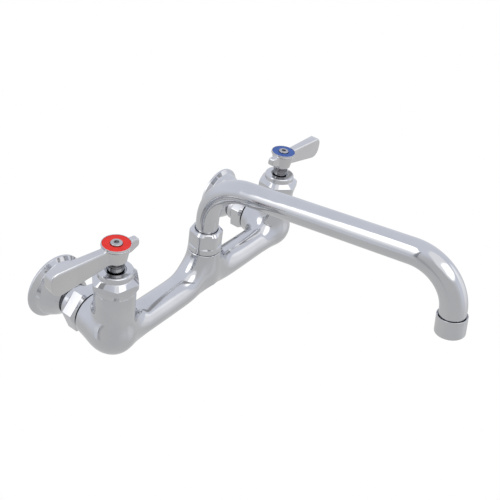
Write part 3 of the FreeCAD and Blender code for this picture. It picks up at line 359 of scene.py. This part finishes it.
def spun(outline, flats=0.0, turn=0.0, edge=0.5, sides=360):
    """Turned ring from an outline of (radius, height, round) corners on the Z axis, as points and
    quads. With flats, a hexagon bar's faces limit it, with softly broken edges."""
    dense = rounded(outline)
    angle = np.linspace(0, 2 * math.pi, sides, endpoint=False)
    radius = np.repeat(dense[:, :1], sides, 1)
    if flats:
        turned_angle = angle - math.radians(turn)
        far, least_lean = 1e3, 0.2
        bar = np.full(sides, far)
        for k in range(6):
            lean = np.cos(turned_angle - math.radians(60 * k + 30))
            face = np.where(lean > least_lean, flats / 2 / np.maximum(lean, least_lean), far)
            bar = soft_min(bar, face, edge)
        radius = soft_min(radius, bar[None, :], edge)
    height = np.repeat(dense[:, 1:], sides, 1)
    points = np.stack([radius * np.cos(angle), radius * np.sin(angle), height], 2).reshape(-1, 3)
    rows = np.arange(len(dense))[:, None] * sides
    next_rows = (np.arange(1, len(dense) + 1) % len(dense))[:, None] * sides
    columns = np.arange(sides)[None, :]
    next_columns = (columns + 1) % sides
    ring = [rows + columns, rows + next_columns, next_rows + next_columns, next_rows + columns]
    return points, np.stack(ring, 2).reshape(-1, 4)


def out_of_wall(points, x, z):
    """Lays a piece made on the Z axis along -Y, out of the wall, on an axis at (x, z)."""
    return np.stack([points[:, 0] + x, -points[:, 2], points[:, 1] + z], 1)


def settle_normals(piece):
    """Turns all faces outwards and weights the shading by face area, so that flats stay flat."""
    shell = bmesh.new()
    shell.from_mesh(piece.data)
    bmesh.ops.remove_doubles(shell, verts=shell.verts, dist=1e-7)
    bmesh.ops.recalc_face_normals(shell, faces=shell.faces)
    shell.to_mesh(piece.data)
    shell.free()
    weigh = piece.modifiers.new("even shading", "WEIGHTED_NORMAL")
    weigh.mode = "FACE_AREA"
    weigh.weight = 90
    shown = piece.evaluated_get(bpy.context.evaluated_depsgraph_get())
    fixed = bpy.data.meshes.new_from_object(shown)
    piece.modifiers.clear()
    piece.data = fixed


def several(*shells):
    """Joins (points, quads) shells into one."""
    points, quads, count = [], [], 0
    for shell_points, shell_quads in shells:
        points.append(shell_points)
        quads.append(shell_quads + count)
        count += len(shell_points)
    return np.concatenate(points), np.concatenate(quads)


FLANGE_BELL = [
    (9.4, 0.0, 0.0),
    (26.2, 0.0, 0.3),
    (26.2, 1.7, 0.5),
    (22.7, 4.3, 0.9),
    (21.7, 8.2, 2.0),
    (19.0, 12.9, 3.0),
    (15.6, 17.2, 3.0),
    (14.2, 20.5, 0.6),
    (6.6, 20.5, 0.0),
    (6.6, 15.0, 0.0),
    (9.4, 15.0, 0.0),
]
FLANGE_TAIL = [(6.5, 19.0, 0.0), (10.9, 19.0, 0.0), (10.9, 26.5, 0.0), (6.5, 26.5, 0.0)]

for side, name in ((-1, "hot"), (1, "cold")):
    bell_points, bell_quads = spun(FLANGE_BELL)
    tail_points, tail_quads = spun(FLANGE_TAIL, sides=120)
    points, quads = several(
        (out_of_wall(bell_points, side * VALVE_X, 0), bell_quads),
        (out_of_wall(tail_points, side * VALVE_X, -AXIS_DROP), tail_quads),
    )
    flange = piece_from(
        name + "_wall_bell",
        points,
        quads,
        trim_chrome,
        "faucet_body",
        [name + "_wall_flange"],
    )
    settle_normals(flange)


# ------------------------------------------------------------------ coupling nuts
# Hexagon nuts cut from bar, chamfered where they meet the inlet bosses, with a short round collar
# on the wall side. They stopped at different angles when they were tightened.
COUPLING_FLATS = 32.5
COUPLING_CORNER = COUPLING_FLATS / math.sqrt(3)
COUPLING_NUT = [
    (10.95, 22.0, 0.0),
    (13.4, 22.0, 0.4),
    (13.4, 27.0, 0.4),
    (COUPLING_CORNER + 0.3, 29.0, 0.6),
    (COUPLING_CORNER + 0.3, 37.0, 0.6),
    (COUPLING_FLATS / 2 - 0.6, 39.4, 0.4),
    (13.4, 39.4, 0.3),
    (13.4, 26.0, 0.0),
    (10.95, 26.0, 0.0),
]
for side, name, turn in ((-1, "hot", 49), (1, "cold", 38)):
    points, quads = spun(COUPLING_NUT, flats=COUPLING_FLATS, turn=turn)
    points = out_of_wall(points, side * VALVE_X, -AXIS_DROP)
    nut = piece_from(
        name + "_union_nut",
        points,
        quads,
        trim_chrome,
        "faucet_body",
        [name + "_coupling_nut"],
    )
    settle_normals(nut)


# ------------------------------------------------------------------ bonnet nuts
# The nut on each tower: a cone under six short corners, a cone above them, and a round collar
# whose sunk mouth shows the valve's neck. It clamps the cartridge down on its seat.
BONNET_FLATS = 31.75
BONNET_CORNER = BONNET_FLATS / math.sqrt(3)
BONNET_NUT = [
    (6.35, 34.4, 0.0),
    (15.1, 34.4, 0.2),
    (BONNET_CORNER, 39.6, 1.2),
    (BONNET_CORNER, 43.3, 1.4),
    (12.9, 46.9, 0.9),
    (12.9, 51.5, 1.9),
    (7.5, 51.5, 0.5),
    (7.5, 48.1, 0.2),
    (6.35, 48.1, 0.0),
]
for side, name, turn in ((-1, "hot", -11), (1, "cold", 20)):
    points, quads = spun(BONNET_NUT, flats=BONNET_FLATS, turn=turn, edge=1.8)
    points += (side * VALVE_X, VALVE_Y, 0)
    nut = piece_from(
        name + "_bonnet",
        points,
        quads,
        trim_chrome,
        "faucet_body",
        [name + "_bonnet_nut"],
    )
    settle_normals(nut)


# ------------------------------------------------------------------ lever handles
# Die-cast levers: a tapered hub, a flat blade that deepens and widens towards its round end, and
# a short tail behind. A thin rim on top of the hub frames the coloured index.
HUB_BOTTOM = 59.3
HUB_FLOOR = 72.15            # floor of the well that holds the index
HUB_FOOT_RADIUS = 7.8
HUB_TAPER = 1.8              # the hub widens by this much over the taper's length
HUB_TAPER_START = 60.1
HUB_TAPER_LENGTH = 10.4
HUB_FOOT_ROUND = 0.9
HUB_FLOOR_ROUND = 0.1
LIP_REACH = 0.9              # flare under the hub's rim
LIP_START = 70.2
LIP_HEIGHT = 1.6
WELL_RADIUS = 10.05
LEVER_TOP = 72.1
LEVER_REACH = 53.8
STUB_REACH = 17.9
BLADE_BOTTOM = 60.8          # at the stem's axis
BLADE_FALL = 0.16            # slopes of the underside: down along the blade, up along the tail
TAIL_RISE = 0.495
SLOPE_SHARE = 0.97           # true distance from a sloping underside, by the height above it
BLADE_HALF_WIDTH = 3.1
BLADE_GAIN = 1.2             # what it gains up to the blade's end
BEVEL_WIDTH = 1.0
BEVEL_SLOPE = 0.9
BLADE_END_ROUND = 6.0
TAIL_END_ROUND = 2.2
BLADE_UNDER_ROUND = 9.0
TAIL_UNDER_ROUND = 1.6
BLADE_EDGE_ROUND = 0.5
BLADE_JOIN = 2.4
HUB_RIM = [
    (9.97, 71.6, 0.0),
    (10.2, 71.6, 0.05),
    (10.45, 72.2, 0.2),
    (10.45, 73.5, 0.15),
    (9.97, 73.5, 0.1),
]
lever_chrome = plated("lever_chrome", (0.62, 0.62, 0.625), (0.58, 0.58, 0.59), 0.10, 0.00006)


def cast_lever(x, y, z):
    """Below zero inside a lever whose blade points along +X from the stem's axis."""
    under_blade = BLADE_BOTTOM - BLADE_FALL * x - z
    under_tail = BLADE_BOTTOM - TAIL_RISE * (x + HUB_FOOT_RADIUS) - z
    under = np.maximum(under_blade, under_tail) * SLOPE_SHARE
    half_width = BLADE_HALF_WIDTH + BLADE_GAIN * x / LEVER_REACH
    bevel = BEVEL_SLOPE * np.maximum(np.abs(y) - half_width + BEVEL_WIDTH, 0)
    side_view = round_max(z - LEVER_TOP + bevel, x - LEVER_REACH, BLADE_END_ROUND)
    side_view = round_max(side_view, -x - STUB_REACH, TAIL_END_ROUND)
    under_round = np.where(x > 0, BLADE_UNDER_ROUND, TAIL_UNDER_ROUND)
    side_view = round_max(side_view, under, under_round)
    blade = round_max(side_view, np.abs(y) - half_width, BLADE_EDGE_ROUND)
    around = np.hypot(x, y)
    taper = around - (HUB_FOOT_RADIUS + HUB_TAPER * (z - HUB_TAPER_START) / HUB_TAPER_LENGTH)
    lip = LIP_REACH * np.clip((z - LIP_START) / LIP_HEIGHT, 0, 1) ** 2
    hub = round_max(taper - lip, HUB_BOTTOM - z, HUB_FOOT_ROUND)
    hub = round_max(hub, z - HUB_FLOOR, HUB_FLOOR_ROUND)
    shape = soft_min(blade, hub, BLADE_JOIN)
    well = np.maximum(around - WELL_RADIUS, HUB_FLOOR - z)
    return np.maximum(shape, -well)


lever_points, lever_quads, _ = skin_of(cast_lever, low=(-20, -12, 52), high=(56, 12, 75), cell=0.36)
for side, name, azimuth in ((-1, "hot", 173), (1, "cold", -2)):
    turn = np.array(Matrix.Rotation(math.radians(azimuth), 3, "Z"))
    stand = (side * VALVE_X, VALVE_Y, 0)
    rim_points, rim_quads = spun(HUB_RIM, sides=240)
    points, quads = several(
        (lever_points @ turn.T + stand, lever_quads), (rim_points + stand, rim_quads)
    )
    lever = piece_from(
        name + "_handle_casting",
        points,
        quads,
        lever_chrome,
        name + "_handle",
        [name + "_lever"],
    )
    settle_normals(lever)


# ------------------------------------------------------------------ index rings
# Enamelled discs let into the hubs, red for hot and blue for cold. A hair of bare metal shows
# round each, and the enamel is satin with a faint stipple.
def enamel(name, light, deep):
    """Opaque enamel in two close tones."""
    finish, tree, shader, place = new_finish(name)
    cloud = spread(tree, grain(tree, place, scale=320, detail=3), 0, 1)
    tree.links.new(two_tones(tree, cloud, light, deep), shader.inputs["Base Color"])
    satin = spread(tree, grain(tree, place, scale=900, detail=2), 0.30, 0.42)
    tree.links.new(satin, shader.inputs["Roughness"])
    shader.inputs["Specular IOR Level"].default_value = 0.25
    relief(tree, shader, grain(tree, place, scale=1400, detail=2), 0.00001)
    return finish


hot_enamel = enamel("hot_enamel", (0.84, 0.030, 0.020), (0.76, 0.024, 0.016))
cold_enamel = enamel("cold_enamel", (0.040, 0.115, 0.42), (0.032, 0.095, 0.36))
INDEX_DISC = [(4.6, 72.15, 0.0), (9.92, 72.15, 0.1), (9.92, 73.35, 0.25), (4.6, 73.35, 0.2)]
for side, name, finish in ((-1, "hot", hot_enamel), (1, "cold", cold_enamel)):
    points, quads = spun(INDEX_DISC, sides=200)
    points += (side * VALVE_X, VALVE_Y, 0)
    disc = piece_from(
        name + "_index_disc",
        points,
        quads,
        finish,
        name + "_handle",
        [name + "_index_ring"],
    )
    settle_normals(disc)


# ------------------------------------------------------------------ handle screws
# Stainless round-head screws with a hexagon socket, one in each hub; they hold the levers on the
# splined stems.
SMOOTH_BELOW = math.radians(28)   # edges flatter than this are shaded as rounds


def merged_copy(node, name, finish, body):
    """A copy of a node's exact mesh, with its loose triangles merged and its rounds smooth."""
    mesh = nodes[node].data.copy()
    mesh.materials.clear()
    mesh.materials.append(finish)
    shell = bmesh.new()
    shell.from_mesh(mesh)
    bmesh.ops.remove_doubles(shell, verts=shell.verts, dist=1e-6)
    for edge in shell.edges:
        edge.smooth = len(edge.link_faces) != 2 or edge.calc_face_angle(0) < SMOOTH_BELOW
    for face in shell.faces:
        face.smooth = True
    shell.to_mesh(mesh)
    shell.free()
    mesh.name = name
    piece = bpy.data.objects.new(name, mesh)
    bpy.context.scene.collection.objects.link(piece)
    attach(piece, body)
    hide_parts(node)


screw_steel = plated("screw_steel", (0.50, 0.50, 0.50), (0.42, 0.42, 0.43), 0.2, 0.00002)
for name in ("hot", "cold"):
    merged_copy(
        name + "_handle_screw", name + "_cap_screw", screw_steel, name + "_handle"
    )


# ------------------------------------------------------------------ spout nut
# Round nut with six narrow wrench flats above a plain band. Its lip holds the spout's swivel down
# and leaves a dark gap round the tube.
SPOUT_FLATS = 24.8
SPOUT_NUT_BAND = [
    (11.3, 19.8, 0.0),
    (12.2, 19.8, 0.0),
    (12.2, 20.6, 0.0),
    (13.6, 20.6, 0.3),
    (13.6, 25.2, 0.1),
    (12.2, 26.1, 0.0),
    (11.3, 26.1, 0.0),
]
SPOUT_NUT_HEX = [
    (11.25, 25.1, 0.0),
    (13.6, 25.1, 0.0),
    (13.6, 36.9, 0.6),
    (11.2, 39.1, 0.3),
    (9.65, 39.1, 0.2),
    (9.65, 36.5, 0.0),
    (11.25, 36.5, 0.0),
]
band = spun(SPOUT_NUT_BAND)
hexagon = spun(SPOUT_NUT_HEX, flats=SPOUT_FLATS, turn=16, edge=0.35)
points, quads = several(band, hexagon)
points += (0, VALVE_Y, 0)
spout_nut = piece_from(
    "spout_union_nut", points, quads, trim_chrome, "faucet_body", ["spout_nut"]
)
settle_normals(spout_nut)


# ------------------------------------------------------------------ spout tube
# Drawn brass tube, bent cold in two places and chromed after bending, so its bends are faintly
# rippled. Four corner points and two bend radii give its line.
TUBE_RADIUS = 9.15
spout_chrome = plated("spout_chrome", (0.60, 0.605, 0.62), (0.57, 0.575, 0.595), 0.06, 0.00012)


def tube_tree():
    """Geometry Nodes: round the corners of a line of points and give it a round section."""
    tree = bpy.data.node_groups.new("bent_tube", "GeometryNodeTree")
    face = tree.interface
    face.new_socket("Corner line", in_out="INPUT", socket_type="NodeSocketGeometry")
    for label, kind in (
        ("Tube radius", "NodeSocketFloat"),
        ("First bend radius", "NodeSocketFloat"),
        ("Second bend radius", "NodeSocketFloat"),
        ("Steps in a bend", "NodeSocketInt"),
        ("Steps round the tube", "NodeSocketInt"),
        ("Finish", "NodeSocketMaterial"),
    ):
        face.new_socket(label, in_out="INPUT", socket_type=kind)
    face.new_socket("Tube", in_out="OUTPUT", socket_type="NodeSocketGeometry")
    add, link = tree.nodes.new, tree.links.new
    given, result = add("NodeGroupInput"), add("NodeGroupOutput")
    number = add("GeometryNodeInputIndex")
    is_second = add("FunctionNodeCompare")
    is_second.data_type = "INT"
    is_second.operation = "EQUAL"
    is_second.inputs[3].default_value = 2
    link(number.outputs["Index"], is_second.inputs[2])
    bend = add("GeometryNodeSwitch")
    bend.input_type = "FLOAT"
    link(is_second.outputs["Result"], bend.inputs["Switch"])
    link(given.outputs["First bend radius"], bend.inputs["False"])
    link(given.outputs["Second bend radius"], bend.inputs["True"])
    fillet = add("GeometryNodeFilletCurve")
    fillet.mode = "POLY"
    link(given.outputs["Corner line"], fillet.inputs["Curve"])
    link(given.outputs["Steps in a bend"], fillet.inputs["Count"])
    link(bend.outputs["Output"], fillet.inputs["Radius"])
    section = add("GeometryNodeCurvePrimitiveCircle")
    link(given.outputs["Steps round the tube"], section.inputs["Resolution"])
    link(given.outputs["Tube radius"], section.inputs["Radius"])
    sweep = add("GeometryNodeCurveToMesh")
    sweep.inputs["Fill Caps"].default_value = True
    link(fillet.outputs["Curve"], sweep.inputs["Curve"])
    link(section.outputs["Curve"], sweep.inputs["Profile Curve"])
    smooth = add("GeometryNodeSetShadeSmooth")
    link(sweep.outputs["Mesh"], smooth.inputs["Geometry"])
    real = add("GeometryNodeRealizeInstances")
    link(smooth.outputs["Geometry"], real.inputs["Geometry"])
    paint = add("GeometryNodeSetMaterial")
    link(real.outputs["Geometry"], paint.inputs["Geometry"])
    link(given.outputs["Finish"], paint.inputs["Material"])
    link(paint.outputs["Geometry"], result.inputs["Tube"])
    return tree


def made_by(tree, source, values):
    """Runs a tree on an object with values for its named inputs and returns the plain mesh."""
    steps = source.modifiers.new("make", "NODES")
    steps.node_group = tree
    for item in tree.interface.items_tree:
        if item.in_out == "INPUT" and item.name in values:
            steps[item.identifier] = values[item.name]
    made = source.evaluated_get(bpy.context.evaluated_depsgraph_get())
    mesh = bpy.data.meshes.new_from_object(made)
    source.modifiers.clear()
    bpy.data.objects.remove(source)
    return mesh


SPOUT_RISE = math.radians(7.9)
OUTLET_LEAN = math.radians(10.2)
SPOUT_FOOT_Z = 37.0
RISER_CORNER_Z = 81.8
SPOUT_RUN = 199.6            # from corner to corner
OUTLET_RUN = 42.8            # from the outlet's corner to the tube's end
COLLAR_START = 35.8
spout_foot = Vector((0, VALVE_Y, SPOUT_FOOT_Z))
riser_corner = Vector((0, VALVE_Y, RISER_CORNER_Z))
spout_way = Vector((0, -math.cos(SPOUT_RISE), math.sin(SPOUT_RISE)))
outlet_corner = riser_corner + SPOUT_RUN * spout_way
outlet_way = Vector((0, -math.sin(OUTLET_LEAN), -math.cos(OUTLET_LEAN)))
spout_tip = outlet_corner + OUTLET_RUN * outlet_way
line = bpy.data.curves.new("spout_line", "CURVE")
line.dimensions = "3D"
corners = line.splines.new("POLY")
corners.points.add(3)
for point, place in zip(corners.points, (spout_foot, riser_corner, outlet_corner, spout_tip)):
    point.co = (*(place * 0.001), 1)
spout_line = bpy.data.objects.new("spout_line", line)
bpy.context.scene.collection.objects.link(spout_line)
tube_mesh = made_by(
    tube_tree(),
    spout_line,
    {
        "Tube radius": TUBE_RADIUS * 0.001,
        "First bend radius": 0.0385,
        "Second bend radius": 0.0337,
        "Steps in a bend": 72,
        "Steps round the tube": 128,
        "Finish": spout_chrome,
    },
)
tube = bpy.data.objects.new("bent_spout", tube_mesh)
tube_mesh.name = "bent_spout"
bpy.context.scene.collection.objects.link(tube)
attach(tube, "spout")
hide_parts("spout_tube")


# ------------------------------------------------------------------ outlet collar
# Turned collar screwed on the tube's end; it carries the aerator. Its upper mouth stands clear of
# the tube and shows as a dark ring.
OUTLET_COLLAR = [
    (9.75, 0.0, 0.2),
    (9.75, -2.6, 0.0),
    (9.2, -2.6, 0.0),
    (9.2, -13.3, 0.0),
    (7.8, -13.3, 0.1),
    (7.8, -14.2, 0.2),
    (10.38, -14.2, 1.2),
    (10.38, 0.0, 0.3),
]
points, quads = spun(OUTLET_COLLAR)
lean = np.array(Matrix.Rotation(-OUTLET_LEAN, 3, "X"))
points = points @ lean.T + np.array(outlet_corner + COLLAR_START * outlet_way)
collar = piece_from(
    "outlet_ring", points, quads, spout_chrome, "spout", ["outlet_collar"]
)
settle_normals(collar)


# ------------------------------------------------------------------ cartridges and small parts
# What the nuts hide, kept as the exact parts: nickel-plated brass cartridges and stems whose necks
# show in the bonnets' mouths, ceramic discs, rubber rings, fibre washers and the plastic aerator.
def matte(name, light, dark, roughness, scale, depth, metallic=0.0):
    """Dull material in two tones; the grain's scale also sets its wear and its relief."""
    finish, tree, shader, place = new_finish(name)
    shader.inputs["Metallic"].default_value = metallic
    cloud = spread(tree, grain(tree, place, scale, 4), 0, 1)
    tree.links.new(two_tones(tree, cloud, light, dark), shader.inputs["Base Color"])
    wear = spread(tree, grain(tree, place, scale * 3, 3), roughness, min(1.0, roughness * 1.3))
    tree.links.new(wear, shader.inputs["Roughness"])
    relief(tree, shader, grain(tree, place, scale * 2, 3), depth)
    return finish


# The nickel is painted much darker than bare nickel is. This is painted shade for the necks sunk deep
# in the bonnets' mouths, and the hidden swivel sleeve shares it.
shaded_valve_nickel = plated("shaded_valve_nickel", (0.34, 0.34, 0.35), (0.24, 0.24, 0.25), 0.08, 0.00002)
ceramic = matte("ceramic", (0.86, 0.85, 0.82), (0.80, 0.79, 0.76), 0.18, 260, 0.000004)
rubber = matte("rubber", (0.020, 0.020, 0.021), (0.035, 0.035, 0.035), 0.55, 500, 0.00002)
fibre = matte("fibre", (0.30, 0.075, 0.035), (0.22, 0.05, 0.025), 0.7, 700, 0.00003)
nylon = matte("nylon", (0.82, 0.81, 0.77), (0.76, 0.75, 0.71), 0.4, 300, 0.00001)
spring_steel = matte("spring_steel", (0.42, 0.42, 0.43), (0.34, 0.34, 0.36), 0.25, 400, 0.000005, 1.0)
aerator_plastic = matte("aerator_plastic", (0.62, 0.63, 0.65), (0.56, 0.57, 0.60), 0.35, 350, 0.00001)
FINISH_OF = {
    "coupling_washer": fibre,
    "seat_seal": rubber,
    "fixed_disc": ceramic,
    "moving_disc": ceramic,
    "cartridge_seal": rubber,
    "thrust_washer": nylon,
    "stem_seal": rubber,
    "stem_clip": spring_steel,
    "swivel_sleeve": shaded_valve_nickel,
    "swivel_seals": rubber,
    "swivel_ring": nylon,
    "aerator_washer": rubber,
    "aerator_insert": aerator_plastic,
}
for node_name, node in nodes.items():
    kind = node_name.removeprefix("hot_").removeprefix("cold_")
    if kind in FINISH_OF:
        node.data.materials.clear()
        node.data.materials.append(FINISH_OF[kind])
for name in ("hot", "cold"):
    merged_copy(name + "_stem", name + "_spindle", shaded_valve_nickel, name + "_handle")
    merged_copy(
        name + "_cartridge_body",
        name + "_cartridge_neck",
        shaded_valve_nickel,
        "faucet_body",
    )


# ------------------------------------------------------------------ stage, light and camera
# A plain studio, white to the camera. The metal mirrors pale walls, a low card in front on the
# right, a tall card on the left with a dark edge and foot, and a broad card overhead with a bright
# core. A softbox lights the enamel.
world = bpy.data.worlds.new("studio")
bpy.context.scene.world = world
world.use_nodes = True
tree = world.node_tree
add, link = tree.nodes.new, tree.links.new
background = tree.nodes["Background"]
ray = add("ShaderNodeLightPath")
direction = add("ShaderNodeTexCoord").outputs["Generated"]


def toward(azimuth, elevation):
    """Unit vector by degrees round from +X and degrees up."""
    a, e = math.radians(azimuth), math.radians(elevation)
    return Vector((math.cos(a) * math.cos(e), math.sin(a) * math.cos(e), math.sin(e)))


def facing(way, start, end):
    """0 ... 1 as the seen direction turns towards a way, eased between two cosines."""
    along = add("ShaderNodeVectorMath")
    along.operation = "DOT_PRODUCT"
    along.inputs[1].default_value = way
    link(direction, along.inputs[0])
    ease = add("ShaderNodeMapRange")
    ease.interpolation_type = "SMOOTHSTEP"
    ease.inputs["From Min"].default_value = start
    ease.inputs["From Max"].default_value = end
    link(along.outputs["Value"], ease.inputs["Value"])
    return ease.outputs["Result"]


def card(corners, soft):
    """1 inside a flat card whose corners are seen at (azimuth, elevation), 0 outside it."""
    ways = [toward(*corner) for corner in corners]
    middle = sum(ways, Vector())
    inside = None
    for first, second in zip(ways, ways[1:] + ways[:1]):
        across = first.cross(second).normalized()
        across = across if across.dot(middle) > 0 else -across
        edge = facing(across, -soft, soft)
        if inside is None:
            inside = edge
        else:
            both = add("ShaderNodeMath")
            both.operation = "MULTIPLY"
            link(inside, both.inputs[0])
            link(edge, both.inputs[1])
            inside = both.outputs["Value"]
    return inside


def laid_over(under, share, tone):
    """A tone over what is there, by a 0 ... 1 share. Either may be a plain tone or a socket."""
    over = add("ShaderNodeMix")
    over.data_type = "RGBA"
    link(share, over.inputs["Factor"])
    for given, socket in ((under, over.inputs["A"]), (tone, over.inputs["B"])):
        if isinstance(given, tuple):
            socket.default_value = (*given, 1)
        else:
            link(given, socket)
    return over.outputs["Result"]


UP = Vector((0, 0, 1))
studio = laid_over((0.69, 0.69, 0.69), facing(UP, -0.55, 0.15), (0.87, 0.90, 0.99))
studio = laid_over(studio, facing(toward(212, -8), 0.25, 0.85), (0.66, 0.66, 0.665))
low_tone = laid_over((0.78, 0.78, 0.80), facing(UP, -0.50, 0.08), (1.12, 1.13, 1.17))
low_tone = laid_over(low_tone, facing(UP, 0.20, 0.45), (1.35, 1.36, 1.40))
low_card = card(
    [(296, -34), (300, 20), (312, 31), (322, 34), (334, 30), (334, -20), (316, -34)], soft=0.06
)
studio = laid_over(studio, low_card, low_tone)
dark_foot = card([(168, 6), (174, 6), (182, -22), (168, -22)], soft=0.09)
studio = laid_over(studio, dark_foot, (0.52, 0.52, 0.54))
dark_edge = card([(166, -4), (165, 46), (169, 52), (169, -4)], soft=0.008)
studio = laid_over(studio, dark_edge, (0.28, 0.29, 0.33))
tall_tone = laid_over((0.80, 0.82, 0.88), facing(UP, -0.16, 0.24), (1.15, 1.16, 1.20))
tall_tone = laid_over(tall_tone, facing(UP, 0.18, 0.52), (2.1, 2.1, 2.1))
tall_card = card(
    [(165.5, -26), (165.5, 46), (148, 62), (124, 54), (139, 27), (146, 0), (153, -24)], soft=0.022
)
studio = laid_over(studio, tall_card, tall_tone)
broad_card = card(
    [(200, 36), (222, 27), (250, 29), (276, 32), (304, 38), (330, 60), (345, 76), (190, 72)], soft=0.06
)
studio = laid_over(studio, broad_card, (1.14, 1.15, 1.18))
bright_core = card(
    [(228, 36), (245, 31), (270, 33), (300, 36), (310, 50), (262, 63), (224, 52)], soft=0.04
)
studio = laid_over(studio, bright_core, (1.95, 1.95, 1.95))
shown = add("ShaderNodeMix")
shown.data_type = "RGBA"
link(ray.outputs["Is Glossy Ray"], shown.inputs["Factor"])
shown.inputs["A"].default_value = (0.62, 0.62, 0.63, 1)
link(studio, shown.inputs["B"])
seen = add("ShaderNodeMix")
seen.data_type = "RGBA"
link(ray.outputs["Is Camera Ray"], seen.inputs["Factor"])
link(shown.outputs["Result"], seen.inputs["A"])
seen.inputs["B"].default_value = (1, 1, 1, 1)
link(seen.outputs["Result"], background.inputs["Color"])

softbox = bpy.data.lights.new("softbox", "AREA")
softbox.shape = "SQUARE"
softbox.size = 1.4
softbox.energy = 9.0
softbox_stand = bpy.data.objects.new("softbox", softbox)
softbox_stand.location = (-0.3, -0.5, 1.4)
softbox_stand.rotation_euler = Vector((0.3, 0.45, -1.4)).to_track_quat("-Z", "Y").to_euler()
softbox_stand.visible_glossy = False
bpy.context.scene.collection.objects.link(softbox_stand)

camera_data = bpy.data.cameras.new("camera")
SENSOR_WIDTH = 36
FOCAL_PIXELS = 705.083       # focal length in a picture that is PICTURE_PIXELS wide
PICTURE_PIXELS = 500
CAMERA_DISTANCE = 661.022
AIMED_AT = Vector((78.988, -60.0, -24.721))
camera_data.sensor_width = SENSOR_WIDTH
camera_data.lens = SENSOR_WIDTH * FOCAL_PIXELS / PICTURE_PIXELS
camera_data.clip_start = 0.01
camera = bpy.data.objects.new("camera", camera_data)
azimuth, elevation, roll = (math.radians(a) for a in (-58.93, 35.14, 9.33))
backwards = Vector(
    (
        math.sin(azimuth) * math.cos(elevation),
        -math.cos(azimuth) * math.cos(elevation),
        math.sin(elevation),
    )
)
rightwards = Vector((math.cos(azimuth), math.sin(azimuth), 0))
upwards = backwards.cross(rightwards)
right_rolled = math.cos(roll) * rightwards + math.sin(roll) * upwards
up_rolled = -math.sin(roll) * rightwards + math.cos(roll) * upwards
stand_at = (AIMED_AT + CAMERA_DISTANCE * backwards) * 0.001
camera_axes = Matrix((right_rolled, up_rolled, backwards)).transposed()
camera.matrix_world = Matrix.Translation(stand_at) @ camera_axes.to_4x4()
bpy.context.scene.collection.objects.link(camera)
bpy.context.scene.camera = camera
bpy.context.scene.view_settings.view_transform = "Standard"
